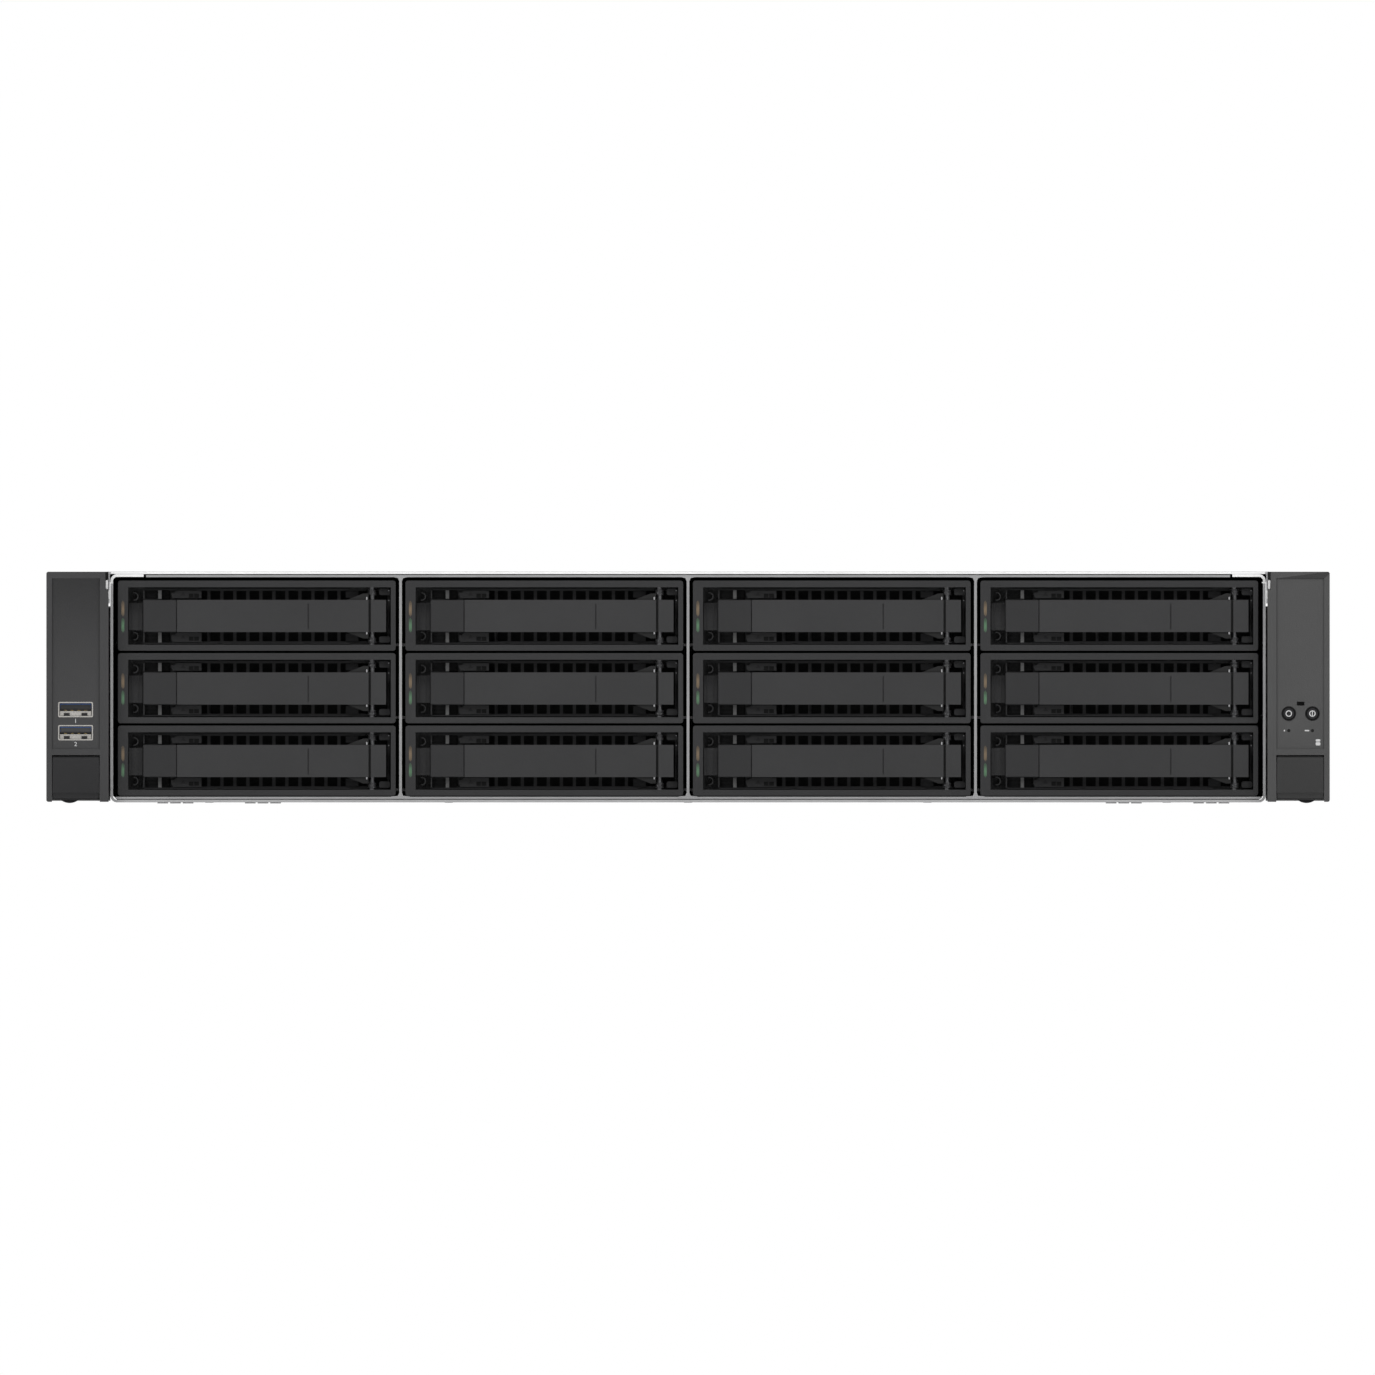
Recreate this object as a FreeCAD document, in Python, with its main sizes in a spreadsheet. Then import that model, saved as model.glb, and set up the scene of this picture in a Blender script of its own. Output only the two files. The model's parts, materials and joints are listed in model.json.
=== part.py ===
import FreeCAD, Part
import math
import os
import Sketcher

COLUMNS = 4
ROWS = 3
FANS = 3
FAN_BLADES = 5
MEMORY_SLOTS = 6
RISER_SLOTS = 3
NETWORK_PORTS = 4
VENT_SLOTS = 12
HEATSINK_FINS = 12
RAIL_STUDS = 3
COVER_HOOKS = 3

# Driving sizes in millimetres, angles in degrees.
SIZES = {
    # enclosure, 2 rack units high, for a 19-inch rack
    "rack_width": 482.6,
    "server_height": 87.2,
    "chassis_length": 736.0,
    "sheet_gauge": 1.0,
    "bend_radius": 1.5,
    "flange_reach": 12.5,
    "foot_lift": 0.4,
    "foot_width": 4.0,
    "foot_pitch": 4.75,
    "foot_length": 12.0,
    "foot_setback": 2.0,
    "foot_inset": 50.6,
    "foot_edge": 17.7,
    "hem_height": 11.9,
    "hem_gap": 2.0,
    "hem_setback": 34.0,
    "lintel_reach": 6.0,
    "front_cover_overlap": 24.0,
    "cover_joint": 0.4,
    "cover_skirt": 12.0,
    "cover_lip": 3.0,
    "cover_travel": 18.0,
    "cover_gap": 0.2,
    "hook_width": 1.5,
    "hook_length": 8.0,
    "hook_toe": 6.0,
    "hook_slot_width": 5.0,
    "hook_end_gap": 0.5,
    "hook_setback": 60.0,
    "hook_pitch": 205.0,
    # ears at the rack posts
    "ear_width": 23.4,
    "ear_gap": 0.7,
    "ear_reach": 6.0,
    "ear_back": 26.0,
    "ear_inner_rim": 3.3,
    "ear_outer_rim": 2.1,
    "ear_end_gap": 0.6,
    "ear_corner": 0.8,
    "ear_panel_depth": 0.5,
    "ear_flange_gauge": 2.0,
    "bracket_gauge": 0.7,
    "bracket_length": 75.0,
    "flap_height": 16.1,
    "flap_gauge": 1.6,
    "flap_gap": 0.2,
    "barrel_radius": 1.8,
    "pivot_radius": 0.8,
    "pivot_reach": 1.0,
    "grip_step": 0.5,
    "screw_inset": 8.75,
    "screw_height": 5.55,
    "screw_head_radius": 5.4,
    "screw_head_length": 11.0,
    "screw_shank_radius": 2.5,
    "screw_neck_radius": 2.0,
    "screw_neck_gap": 0.5,
    "screw_reach": 11.5,
    "button_cap_radius": 2.1,
    "button_ring": 0.5,
    "button_height": 33.8,
    "power_button_inset": 8.0,
    "button_pitch": 8.9,
    "button_proud": 0.5,
    "button_stroke": 0.8,
    "button_well_depth": 6.0,
    "usb_width": 13.1,
    "usb_height": 5.75,
    "usb_shell": 0.4,
    "usb_length": 14.0,
    "usb_inset": 11.0,
    "usb_low": 23.7,
    "usb_pitch": 8.7,
    # drive cage and its carriers
    "floor_gap": 0.3,
    "cage_gauge": 0.8,
    "cage_top_drop": 0.3,
    "cage_side_gap": 0.9,
    "divider_gauge": 1.0,
    "divider_flare": 7.0,
    "flare_lip": 0.35,
    "flare_rise": 0.55,
    "flare_sink": 0.2,
    "ledge_gauge": 1.0,
    "ledge_gap": 0.3,
    "ledge_setback": 12.0,
    "ledge_bite": 1.0,
    "rib_width": 20.0,
    "side_gap": 1.85,
    "column_gap": 3.7,
    "row_gap": 0.9,
    "bottom_gap": 0.4,
    "top_gap": 1.3,
    "left_bar": 3.8,
    "right_bar": 1.8,
    "top_bar": 2.5,
    "bottom_bar": 2.25,
    "recess_depth": 8.0,
    "vent_plate": 1.6,
    "vent_margin": 1.35,
    "vent_rib": 1.25,
    "vent_start": 29.9,
    "hinge_window": 14.0,
    "boss_width": 4.6,
    "boss_depth": 4.5,
    "pocket_width": 4.7,
    "pocket_height": 4.2,
    "pocket_depth": 1.0,
    "rail_gauge": 1.4,
    "rail_inset": 3.0,
    "rail_tail": 1.5,
    "drive_gap": 1.9,
    "drive_length": 147.0,
    "drive_inset": 0.1,
    "drive_lid": 1.5,
    "drive_lid_inset": 2.5,
    "face_inset": 0.3,
    "part_gap": 0.2,
    "lever_inset": 4.75,
    "lever_bottom": 7.0,
    "lever_gauge": 2.0,
    "tail_inset": 3.6,
    "tail_length": 5.7,
    "tail_gap": 0.9,
    "groove_setback": 24.2,
    "groove_width": 0.5,
    "groove_depth": 0.4,
    "hinge_inset": 8.9,
    "hinge_setback": 4.0,
    "hinge_pin_radius": 1.0,
    "bore_clearance": 0.1,
    "knuckle_radius": 2.2,
    "arm_flare": 2.4,
    "arm_run": 8.0,
    "release_width": 12.6,
    "release_inset": 5.6,
    "release_travel": 2.5,
    "stem_width": 2.4,
    "stem_height": 6.4,
    "window_width": 3.1,
    "window_margin": 1.3,
    "backplane_gauge": 1.6,
    "board_edge_gap": 0.5,
    "connector_width": 42.0,
    "connector_height": 8.0,
    "connector_lift": 4.0,
    "connector_reach": 6.0,
    "connector_gap": 1.5,
    "connector_inset": 12.0,
    "airway_inset": 62.0,
    "airway_lift": 7.0,
    "airway_width": 30.0,
    "airway_height": 12.0,
    # fans
    "fan_wall_gap": 48.0,
    "fan_head_room": 3.2,
    "fan_depth": 38.0,
    "fan_end_room": 13.7,
    "fan_lift": 0.6,
    "fan_bore_wall": 1.6,
    "fan_hub_radius": 18.0,
    "fan_tip_gap": 1.2,
    "fan_strut": 4.0,
    "fan_grille_depth": 3.0,
    "fan_rotor_depth": 26.0,
    "fan_shaft_radius": 2.0,
    "blade_gauge": 1.6,
    "blade_root_chord": 24.0,
    "blade_tip_chord": 27.0,
    "blade_angle": 36.0,
    # main board and rear panel
    "board_lift": 4.6,
    "board_gauge": 1.6,
    "board_gap": 15.0,
    "board_rear_gap": 6.0,
    "standoff_radius": 3.0,
    "memory_length": 133.0,
    "memory_height": 31.0,
    "memory_gauge": 4.0,
    "memory_pitch": 9.0,
    "memory_inset": 32.0,
    "heatsink_width": 92.0,
    "heatsink_length": 108.0,
    "heatsink_height": 64.0,
    "heatsink_base": 6.0,
    "fin_gauge": 1.6,
    "port_bottom": 8.2,
    "network_port_width": 16.0,
    "network_port_height": 13.6,
    "network_port_length": 21.0,
    "jack_width": 11.8,
    "jack_height": 8.4,
    "jack_depth": 15.0,
    "network_gap": 15.0,
    "video_start": 14.0,
    "video_width": 31.0,
    "video_height": 12.5,
    "video_proud": 5.0,
    "rear_usb_gap": 14.0,
    "rear_usb_proud": 0.3,
    "rear_usb_height": 15.6,
    "port_gap": 0.5,
    "riser_lift": 1.7,
    "riser_head_room": 1.8,
    "riser_hood_drop": 1.5,
    "riser_hood_rise": 1.2,
    "riser_post": 1.5,
    "riser_width": 122.0,
    "riser_length": 170.0,
    "riser_gap": 4.0,
    "riser_side_gap": 9.0,
    "slot_cover_spacing": 0.9,
    "slot_cover_inset": 2.0,
    "slot_cover_gap": 0.3,
    # power supplies
    "supply_width": 73.5,
    "supply_head_room": 2.5,
    "supply_length": 185.0,
    "supply_gap": 0.5,
    "shelf_gauge": 0.8,
    "inlet_inset": 4.0,
    "inlet_width": 27.6,
    "inlet_height": 20.0,
    "inlet_depth": 16.0,
    "inlet_pin_gauge": 2.0,
    "inlet_pin_width": 4.0,
    "inlet_pin_length": 12.0,
    "inlet_pin_spread": 7.0,
    "handle_reach": 28.0,
    "handle_start": 35.0,
    "handle_span": 30.0,
    "handle_gauge": 3.2,
    "handle_height": 10.0,
    "supply_latch_inset": 1.2,
    "supply_latch_gauge": 2.0,
    "supply_latch_reach": 14.0,
    "supply_latch_height": 22.0,
    # cover latch
    "dish_width": 36.0,
    "dish_length": 100.0,
    "dish_depth": 5.0,
    "dish_setback": 9.0,
    "latch_width": 30.0,
    "latch_length": 88.0,
    "latch_gauge": 2.6,
    "latch_axis_setback": 6.0,
    "latch_barrel": 1.9,
    "latch_pin_radius": 1.2,
    "latch_tip": 6.0,
    "latch_tip_gauge": 1.2,
    "latch_grip_inset": 8.0,
    "latch_grip_length": 16.0,
    # studs for the slide rails
    "stud_radius": 2.6,
    "stud_head_radius": 4.0,
    "stud_reach": 2.4,
    "stud_head_gauge": 1.0,
    "stud_height": 43.6,
    "stud_setback": 110.0,
    "stud_pitch": 270.0,
}

doc = FreeCAD.newDocument("rack_server")
sheet = doc.addObject("Spreadsheet::Sheet", "dims")
nodes = {}


class Size:
    """A length with its number and the sheet formula that gives it."""

    def __init__(self, number, formula):
        self.number = number
        self.formula = formula

    def joined(self, other, sign, number):
        return Size(number, f"({self.formula} {sign} {size_of(other).formula})")

    def __add__(self, other):
        return self.joined(other, "+", self.number + size_of(other).number)

    def __sub__(self, other):
        return self.joined(other, "-", self.number - size_of(other).number)

    def __mul__(self, other):
        return self.joined(other, "*", self.number * size_of(other).number)

    def __truediv__(self, other):
        return self.joined(other, "/", self.number / size_of(other).number)

    def __radd__(self, other):
        return size_of(other) + self

    def __rsub__(self, other):
        return size_of(other) - self

    def __rmul__(self, other):
        return size_of(other) * self

    def __neg__(self):
        return size_of(-1) * self


def size_of(value):
    """Give a plain number the form of a Size."""
    if isinstance(value, Size):
        return value
    return Size(float(value), f"({float(value)})")


class Dimensions:
    """The driving sizes, held by the sheet, and what follows from them."""

    def __init__(self, sizes):
        for row, (alias, number) in enumerate(sizes.items(), start=1):
            cell = f"A{row}"
            sheet.set(cell, str(number))
            sheet.setAlias(cell, alias)
            setattr(self, alias, Size(number, f"dims.{alias}"))
        doc.recompute()
        self.follow_enclosure()
        self.follow_bays()
        self.follow_ears()
        self.follow_middle()
        self.follow_rear()

    def follow_enclosure(self):
        self.half_width = self.rack_width / 2 - self.ear_width - self.ear_gap
        self.half_inside = self.half_width - self.sheet_gauge
        self.wall_top = self.server_height - self.sheet_gauge
        self.pan_top = self.foot_lift + self.sheet_gauge
        self.pan_bend = self.pan_top + self.bend_radius + self.sheet_gauge
        self.flange_bend = self.wall_top + self.foot_lift - self.pan_bend
        self.flange_bottom = self.wall_top - self.sheet_gauge
        self.flange_edge = self.half_width - self.flange_reach
        overhang = self.handle_reach - self.ear_reach
        self.face_y = -(self.chassis_length + overhang) / 2

    def follow_bays(self):
        self.cage_floor = self.pan_top + self.floor_gap
        self.cell_bottom = self.cage_floor + self.cage_gauge
        self.cage_roof = self.wall_top - self.cage_top_drop
        self.cell_top = self.cage_roof - self.cage_gauge
        across = 2 * (self.half_inside - self.side_gap)
        self.bezel_width = (across - (COLUMNS - 1) * self.column_gap) / COLUMNS
        self.column_pitch = self.bezel_width + self.column_gap
        self.first_column = self.side_gap - self.half_inside
        tall = self.cell_top - self.cell_bottom - self.bottom_gap - self.top_gap
        self.bezel_height = (tall - (ROWS - 1) * self.row_gap) / ROWS
        self.row_pitch = self.bezel_height + self.row_gap
        self.first_row = self.cell_bottom + self.bottom_gap
        self.bezel_depth = self.recess_depth + self.vent_plate
        self.lever_top = self.bezel_height - self.top_bar - (self.lever_bottom - self.bottom_bar)
        self.hinge_x = self.bezel_width - self.hinge_inset
        self.tail_end = self.bezel_width - self.tail_inset
        self.release_start = self.left_bar + self.release_inset
        self.lever_start = self.release_start + self.release_width + self.part_gap
        self.window_left = self.bezel_width - self.right_bar - self.hinge_window
        self.drive_front = self.bezel_depth + self.drive_gap
        self.drive_back = self.drive_front + self.drive_length
        self.rail_back = self.drive_back + self.rail_tail
        self.cage_length = self.drive_back + self.connector_gap + self.connector_reach
        self.front_cover_length = self.cage_length + self.front_cover_overlap
        self.top_cover_start = self.front_cover_length + self.cover_joint

    def follow_ears(self):
        self.ear_inner = self.half_width + self.ear_gap
        self.ear_outer = self.rack_width / 2
        self.ear_bottom = self.ear_end_gap
        self.ear_top = self.server_height - self.ear_end_gap / 10
        self.flap_pocket_top = self.ear_bottom + self.flap_height + self.flap_gap * 2 + 1.1
        self.hinge_z = self.flap_pocket_top - self.barrel_radius - self.flap_gap
        self.panel_left = self.ear_inner + self.ear_inner_rim
        self.panel_right = self.ear_outer - self.ear_outer_rim
        self.screw_x = self.ear_outer - self.screw_inset

    def follow_middle(self):
        inside_height = self.flange_bottom - self.pan_top
        self.fan_size = inside_height - self.fan_lift - self.fan_head_room
        self.fan_pitch = (self.half_inside - self.fan_end_room) * 2 / FANS
        self.fan_wall_setback = self.cage_length + self.fan_wall_gap
        fan_back = self.fan_wall_setback + self.sheet_gauge + self.fan_depth
        self.board_setback = fan_back + self.board_gap
        self.memory_setback = self.board_setback + self.memory_inset
        self.board_top = self.pan_top + self.board_lift + self.board_gauge

    def follow_rear(self):
        self.rear_y = self.chassis_length - self.sheet_gauge
        self.supply_right = self.half_inside - self.supply_gap
        self.supply_left = self.supply_right - self.supply_width
        self.supply_bottom = self.pan_top + self.supply_gap
        supply_room = self.flange_bottom - self.supply_head_room - self.supply_bottom
        self.supply_height = (supply_room - self.shelf_gauge) / 2
        self.shelf_bottom = self.supply_bottom + self.supply_height
        self.upper_bottom = self.shelf_bottom + self.shelf_gauge
        self.bay_wall = self.supply_left - self.supply_gap - self.sheet_gauge
        self.supply_front = self.chassis_length - self.supply_length
        self.network_start = self.video_start + self.video_width + self.network_gap
        network_width = self.network_port_width * NETWORK_PORTS
        self.rear_usb_start = self.network_start + network_width + self.rear_usb_gap
        self.riser_bottom = self.port_bottom + self.rear_usb_height + self.riser_lift
        riser_room = self.flange_bottom - self.riser_head_room - self.riser_bottom
        self.slot_pitch = riser_room / RISER_SLOTS
        self.slot_cover_height = self.slot_pitch - self.slot_cover_spacing
        self.dish_y = self.board_setback - self.dish_setback
        self.latch_z = self.wall_top - self.latch_barrel + 0.2


d = Dimensions(SIZES)


# ---------------------------------------------------------------- helpers

def bind(item, prop, size):
    """Tie a property to the sheet, or set it where the value is bare."""
    if isinstance(size, Size):
        item.setExpression(prop, size.formula)
    elif size:
        item.setExpression(prop, str(size))


def place(item, x=0, y=0, z=0):
    """Move an item to a bound place."""
    bind(item, "Placement.Base.x", x)
    bind(item, "Placement.Base.y", y)
    bind(item, "Placement.Base.z", z)
    return item


def keep(label, item, x=0, y=None, z=0):
    """Name a finished sub-part and put it where it sits in the server."""
    item.Label = label
    place(item, x, d.face_y if y is None else d.face_y + y, z)
    nodes[label] = item
    return item


def new_body(name):
    return doc.addObject("PartDesign::Body", name)


def origin_part(body, role):
    return next(item for item in body.Origin.OriginFeatures if item.Role == role)


def pin_point(sketch, index, position, u, v):
    """Hold one sketch point at a bound distance from the sketch origin."""
    for kind, size in (("DistanceX", u), ("DistanceY", v)):
        size = size_of(size)
        held = Sketcher.Constraint(kind, -1, 1, index, position, size.number)
        number = sketch.addConstraint(held)
        sketch.setExpression(f"Constraints[{number}]", size.formula)


def add_loop(sketch, points):
    """Draw a closed polygon through bound points."""
    first = sketch.GeometryCount
    corners = [FreeCAD.Vector(size_of(u).number, size_of(v).number, 0) for u, v in points]
    count = len(corners)
    for index in range(count):
        line = Part.LineSegment(corners[index], corners[(index + 1) % count])
        sketch.addGeometry(line, False)
    for index in range(count):
        after = first + (index + 1) % count
        sketch.addConstraint(Sketcher.Constraint("Coincident", first + index, 2, after, 1))
    for index, (u, v) in enumerate(points):
        pin_point(sketch, first + index, 1, u, v)


def add_circle(sketch, u, v, radius):
    """Draw a circle with a bound centre and radius."""
    index = sketch.GeometryCount
    centre = FreeCAD.Vector(size_of(u).number, size_of(v).number, 0)
    normal = FreeCAD.Vector(0, 0, 1)
    sketch.addGeometry(Part.Circle(centre, normal, radius.number), False)
    pin_point(sketch, index, 3, u, v)
    number = sketch.addConstraint(Sketcher.Constraint("Radius", index, radius.number))
    sketch.setExpression(f"Constraints[{number}]", radius.formula)


def new_sketch(body, plane, at=0):
    """Open a sketch on a plane through the body's origin, moved to at."""
    sketch = body.newObject("Sketcher::SketchObject", "sketch")
    sketch.AttachmentSupport = [(origin_part(body, f"{plane}_Plane"), "")]
    sketch.MapMode = "FlatFace"
    along = -size_of(at) if plane == "XZ" else size_of(at)
    bind(sketch, "AttachmentOffset.Base.z", along)
    return sketch


def outline(body, plane, at, *loops):
    """Sketch one or more closed polygons."""
    sketch = new_sketch(body, plane, at)
    for points in loops:
        add_loop(sketch, points)
    return sketch


def circles(body, plane, at, *rounds):
    """Sketch one or more circles."""
    sketch = new_sketch(body, plane, at)
    for u, v, radius in rounds:
        add_circle(sketch, u, v, radius)
    return sketch


def rectangle(left, right, low, high):
    return [(left, low), (right, low), (right, high), (left, high)]


def pad(body, sketch, length, toward=1):
    """Add material from a sketch, toward the plus or minus end of its axis."""
    plane = sketch.AttachmentSupport[0][0].Role
    feature = body.newObject("PartDesign::Pad", "pad")
    feature.Profile = sketch
    feature.Reversed = (toward > 0) == (plane == "XZ_Plane")
    bind(feature, "Length", size_of(length))
    return feature


def pocket(body, sketch, length, toward=1):
    """Take material away from a sketch on, toward one end of its axis."""
    plane = sketch.AttachmentSupport[0][0].Role
    feature = body.newObject("PartDesign::Pocket", "pocket")
    feature.Profile = sketch
    feature.Reversed = (toward > 0) != (plane == "XZ_Plane")
    bind(feature, "Length", size_of(length))
    return feature


def repeat(body, feature, axis, pitch, count):
    """Repeat a feature in a straight line."""
    pattern = body.newObject("PartDesign::LinearPattern", "row")
    pattern.Originals = [feature]
    pattern.Direction = (origin_part(body, f"{axis}_Axis"), [""])
    pattern.Occurrences = count
    bind(pattern, "Length", size_of(pitch) * (count - 1))
    body.Tip = pattern
    return pattern


def repeat_round(body, feature, axis, count):
    """Repeat a feature round an axis."""
    pattern = body.newObject("PartDesign::PolarPattern", "ring")
    pattern.Originals = [feature]
    pattern.Axis = (origin_part(body, f"{axis}_Axis"), [""])
    pattern.Angle = 360
    pattern.Occurrences = count
    body.Tip = pattern
    return pattern


def round_edges(body, radius, wanted):
    """Round the edges of the last feature for which wanted(edge) is true."""
    doc.recompute()
    base = body.Tip
    names = []
    for number, edge in enumerate(base.Shape.Edges, start=1):
        if wanted(edge):
            names.append(f"Edge{number}")
    feature = body.newObject("PartDesign::Fillet", "round")
    feature.Base = (base, names)
    bind(feature, "Radius", radius)
    return feature


def box(x0, x1, y0, y1, z0, z1):
    """A plain block between bound faces."""
    block = doc.addObject("Part::Box", "block")
    for prop, low, high in (("Length", x0, x1), ("Width", y0, y1), ("Height", z0, z1)):
        bind(block, prop, size_of(high) - low)
    return place(block, size_of(x0), size_of(y0), size_of(z0))


def rod(axis, x, y, z, radius, length):
    """A round bar from a point along plus X, Y or Z."""
    bar = doc.addObject("Part::Cylinder", "bar")
    turns = {"X": (FreeCAD.Vector(0, 1, 0), 90), "Y": (FreeCAD.Vector(1, 0, 0), -90)}
    if axis in turns:
        bar.Placement = FreeCAD.Placement(FreeCAD.Vector(), FreeCAD.Rotation(*turns[axis]))
    bind(bar, "Radius", radius)
    bind(bar, "Height", length)
    return place(bar, size_of(x), size_of(y), size_of(z))


def group(name, *parts):
    """Several solids of one sub-part, side by side."""
    item = doc.addObject("Part::Compound", name)
    item.Links = list(parts)
    return item


def cut(name, base, tool):
    item = doc.addObject("Part::Cut", name)
    item.Base = base
    item.Tool = tool
    return item


def mirrored(name, source):
    """The same piece for the other side of the server."""
    item = doc.addObject("Part::Mirroring", name)
    item.Source = source
    item.Normal = FreeCAD.Vector(1, 0, 0)
    return item


def is_along_y(edge):
    """True for a straight edge that runs from front to back."""
    start, end = edge.Vertexes[0].Point, edge.Vertexes[-1].Point
    return abs(start.x - end.x) < 0.01 and abs(start.z - end.z) < 0.01


def is_near(value, size, reach=0.01):
    return abs(value - size_of(size).number) < reach


# ------------------------------------------------------------- enclosure

def cut_corner_panel(left, right, low, high, corner):
    """A panel whose corners clear the bends of the sheet round it."""
    return [(left + corner, low), (right - corner, low), (right, low + corner),
            (right, high - corner), (right - corner, high), (left + corner, high),
            (left, high - corner), (left, low + corner)]


def fold_edges(body, x, z, radius):
    """Round the two long edges of a fold, at plus and minus x."""
    def at_fold(edge):
        spot = edge.Vertexes[0].Point
        return is_along_y(edge) and is_near(abs(spot.x), x) and is_near(spot.z, z)

    round_edges(body, radius, at_fold)


def embossed_feet(body):
    """Four groups of pressed feet, three to a group, at front and back."""
    inner = d.half_width - d.foot_inset
    outer = d.half_width - d.foot_edge
    far = d.chassis_length - d.foot_length - d.foot_setback
    for start in (-outer, -inner, inner - d.foot_pitch * 2, outer - d.foot_pitch * 2):
        for front in (d.foot_setback, far):
            plan = rectangle(start, start + d.foot_width, front, front + d.foot_length)
            foot = pad(body, outline(body, "XY", d.foot_lift, plan), d.foot_lift, -1)
            repeat(body, foot, "X", d.foot_pitch, 3)


def pan_ribs(body):
    """Pressed ribs that carry the floor of the drive cage."""
    half = d.rib_width / 2
    back = d.cage_length - d.ledge_setback
    for column in (-1, 0, 1):
        middle = column * d.column_pitch
        plan = rectangle(middle - half, middle + half, d.ledge_setback, back)
        pad(body, outline(body, "XY", d.pan_top, plan), d.floor_gap)


def hexagon(x, y, radius):
    """Corners of a six-sided standoff."""
    half, rise = radius / 2, radius * 0.866
    return [(x + radius, y), (x + half, y + rise), (x - half, y + rise),
            (x - radius, y), (x - half, y - rise), (x + half, y - rise)]


def board_standoffs(body):
    """Six-sided standoffs under the main board."""
    posts = []
    board_length = d.rear_y - d.board_setback
    for across in (-0.9, -0.35, 0.2):
        for along in (0.03, 0.47, 0.93):
            y = d.board_setback + board_length * along
            posts.append(hexagon(d.half_inside * across, y, d.standoff_radius))
    pad(body, outline(body, "XY", d.pan_top, *posts), d.board_lift)


def pan():
    """Floor sheet with the bends up to the walls, its feet and its ribs."""
    body = new_body("pan")
    right, inside = d.half_width, d.half_inside
    section = [(-right, d.foot_lift), (right, d.foot_lift), (right, d.pan_bend),
               (inside, d.pan_bend), (inside, d.pan_top), (-inside, d.pan_top),
               (-inside, d.pan_bend), (-right, d.pan_bend)]
    pad(body, outline(body, "XZ", 0, section), d.chassis_length)
    fold_edges(body, right, d.foot_lift, d.bend_radius + d.sheet_gauge)
    fold_edges(body, inside, d.pan_top, d.bend_radius)
    embossed_feet(body)
    pan_ribs(body)
    board_standoffs(body)
    return body


def ledge_levels():
    """Height of the top of each drive ledge, from the lowest row up."""
    return [d.first_row + row * d.row_pitch + d.rail_inset - d.ledge_gap for row in range(ROWS)]


def wall_ledges(body):
    """Drive ledges pressed inward from the side wall."""
    inner = d.half_inside - d.side_gap - d.ledge_bite
    length = d.cage_length - d.ledge_setback * 2
    for top in ledge_levels():
        ledge = rectangle(inner, d.half_inside, top - d.ledge_gauge, top)
        pad(body, outline(body, "XZ", d.ledge_setback, ledge), length)


def rail_studs(body):
    """Headed studs on the side wall that the slide rails hook on to."""
    shank = d.stud_reach - d.stud_head_gauge
    foot = outline(body, "YZ", d.half_width,
                   hexagon(d.stud_setback, d.stud_height, d.stud_radius))
    stud = pad(body, foot, shank)
    cap = circles(body, "YZ", d.half_width + shank,
                  (d.stud_setback, d.stud_height, d.stud_head_radius))
    head = pad(body, cap, d.stud_head_gauge)
    pattern = repeat(body, stud, "Y", d.stud_pitch, RAIL_STUDS)
    pattern.Originals = [stud, head]


def side_wall():
    """Right wall with its drive ledges, rail studs and folded hem."""
    body = new_body("wall")
    panel = rectangle(d.half_inside, d.half_width, d.pan_bend, d.flange_bend)
    pad(body, outline(body, "XZ", 0, panel), d.chassis_length)
    wall_ledges(body)
    hem = rectangle(d.half_width, d.ear_inner, d.pan_bend, d.foot_lift + d.hem_height)
    hem_start = d.bracket_length + d.hem_gap
    pad(body, outline(body, "XZ", hem_start, hem), d.chassis_length - hem_start - d.hem_setback)
    rail_studs(body)
    return body


def top_flange():
    """Right top flange with its bend and the slots for the cover hooks."""
    body = new_body("flange")
    edge, right, inside = d.flange_edge, d.half_width, d.half_inside
    section = [(edge, d.flange_bottom), (inside, d.flange_bottom), (inside, d.flange_bend),
               (right, d.flange_bend), (right, d.wall_top), (edge, d.wall_top)]
    pad(body, outline(body, "XZ", 0, section), d.chassis_length)
    fold_edges(body, right, d.wall_top, d.bend_radius + d.sheet_gauge)
    fold_edges(body, inside, d.flange_bottom, d.bend_radius)
    middle = (edge + inside) / 2
    half = d.hook_slot_width / 2
    front = d.top_cover_start + d.hook_setback - d.hook_end_gap
    back = front + d.hook_length + d.cover_travel + d.hook_end_gap * 2
    slot = outline(body, "XY", d.wall_top, rectangle(middle - half, middle + half, front, back))
    hole = pocket(body, slot, d.sheet_gauge * 2, -1)
    repeat(body, hole, "Y", d.hook_pitch, COVER_HOOKS)
    return body


def riser_left(index):
    """Left face of one riser cage, seen from the front."""
    start = d.riser_side_gap - d.half_inside
    return start + index * (d.riser_width + d.riser_gap)


def riser_opening(index):
    left = riser_left(index) + d.slot_cover_inset
    top = d.riser_bottom + RISER_SLOTS * d.slot_pitch
    return rectangle(left, left + d.riser_width - d.slot_cover_inset * 2, d.riser_bottom, top)


def port_opening(start, width, height):
    """A hole for one port, counted from the left wall."""
    left = start - d.half_inside - d.port_gap
    low = d.port_bottom - d.port_gap
    return rectangle(left, left + width + d.port_gap * 2, low, low + height + d.port_gap * 2)


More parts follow.
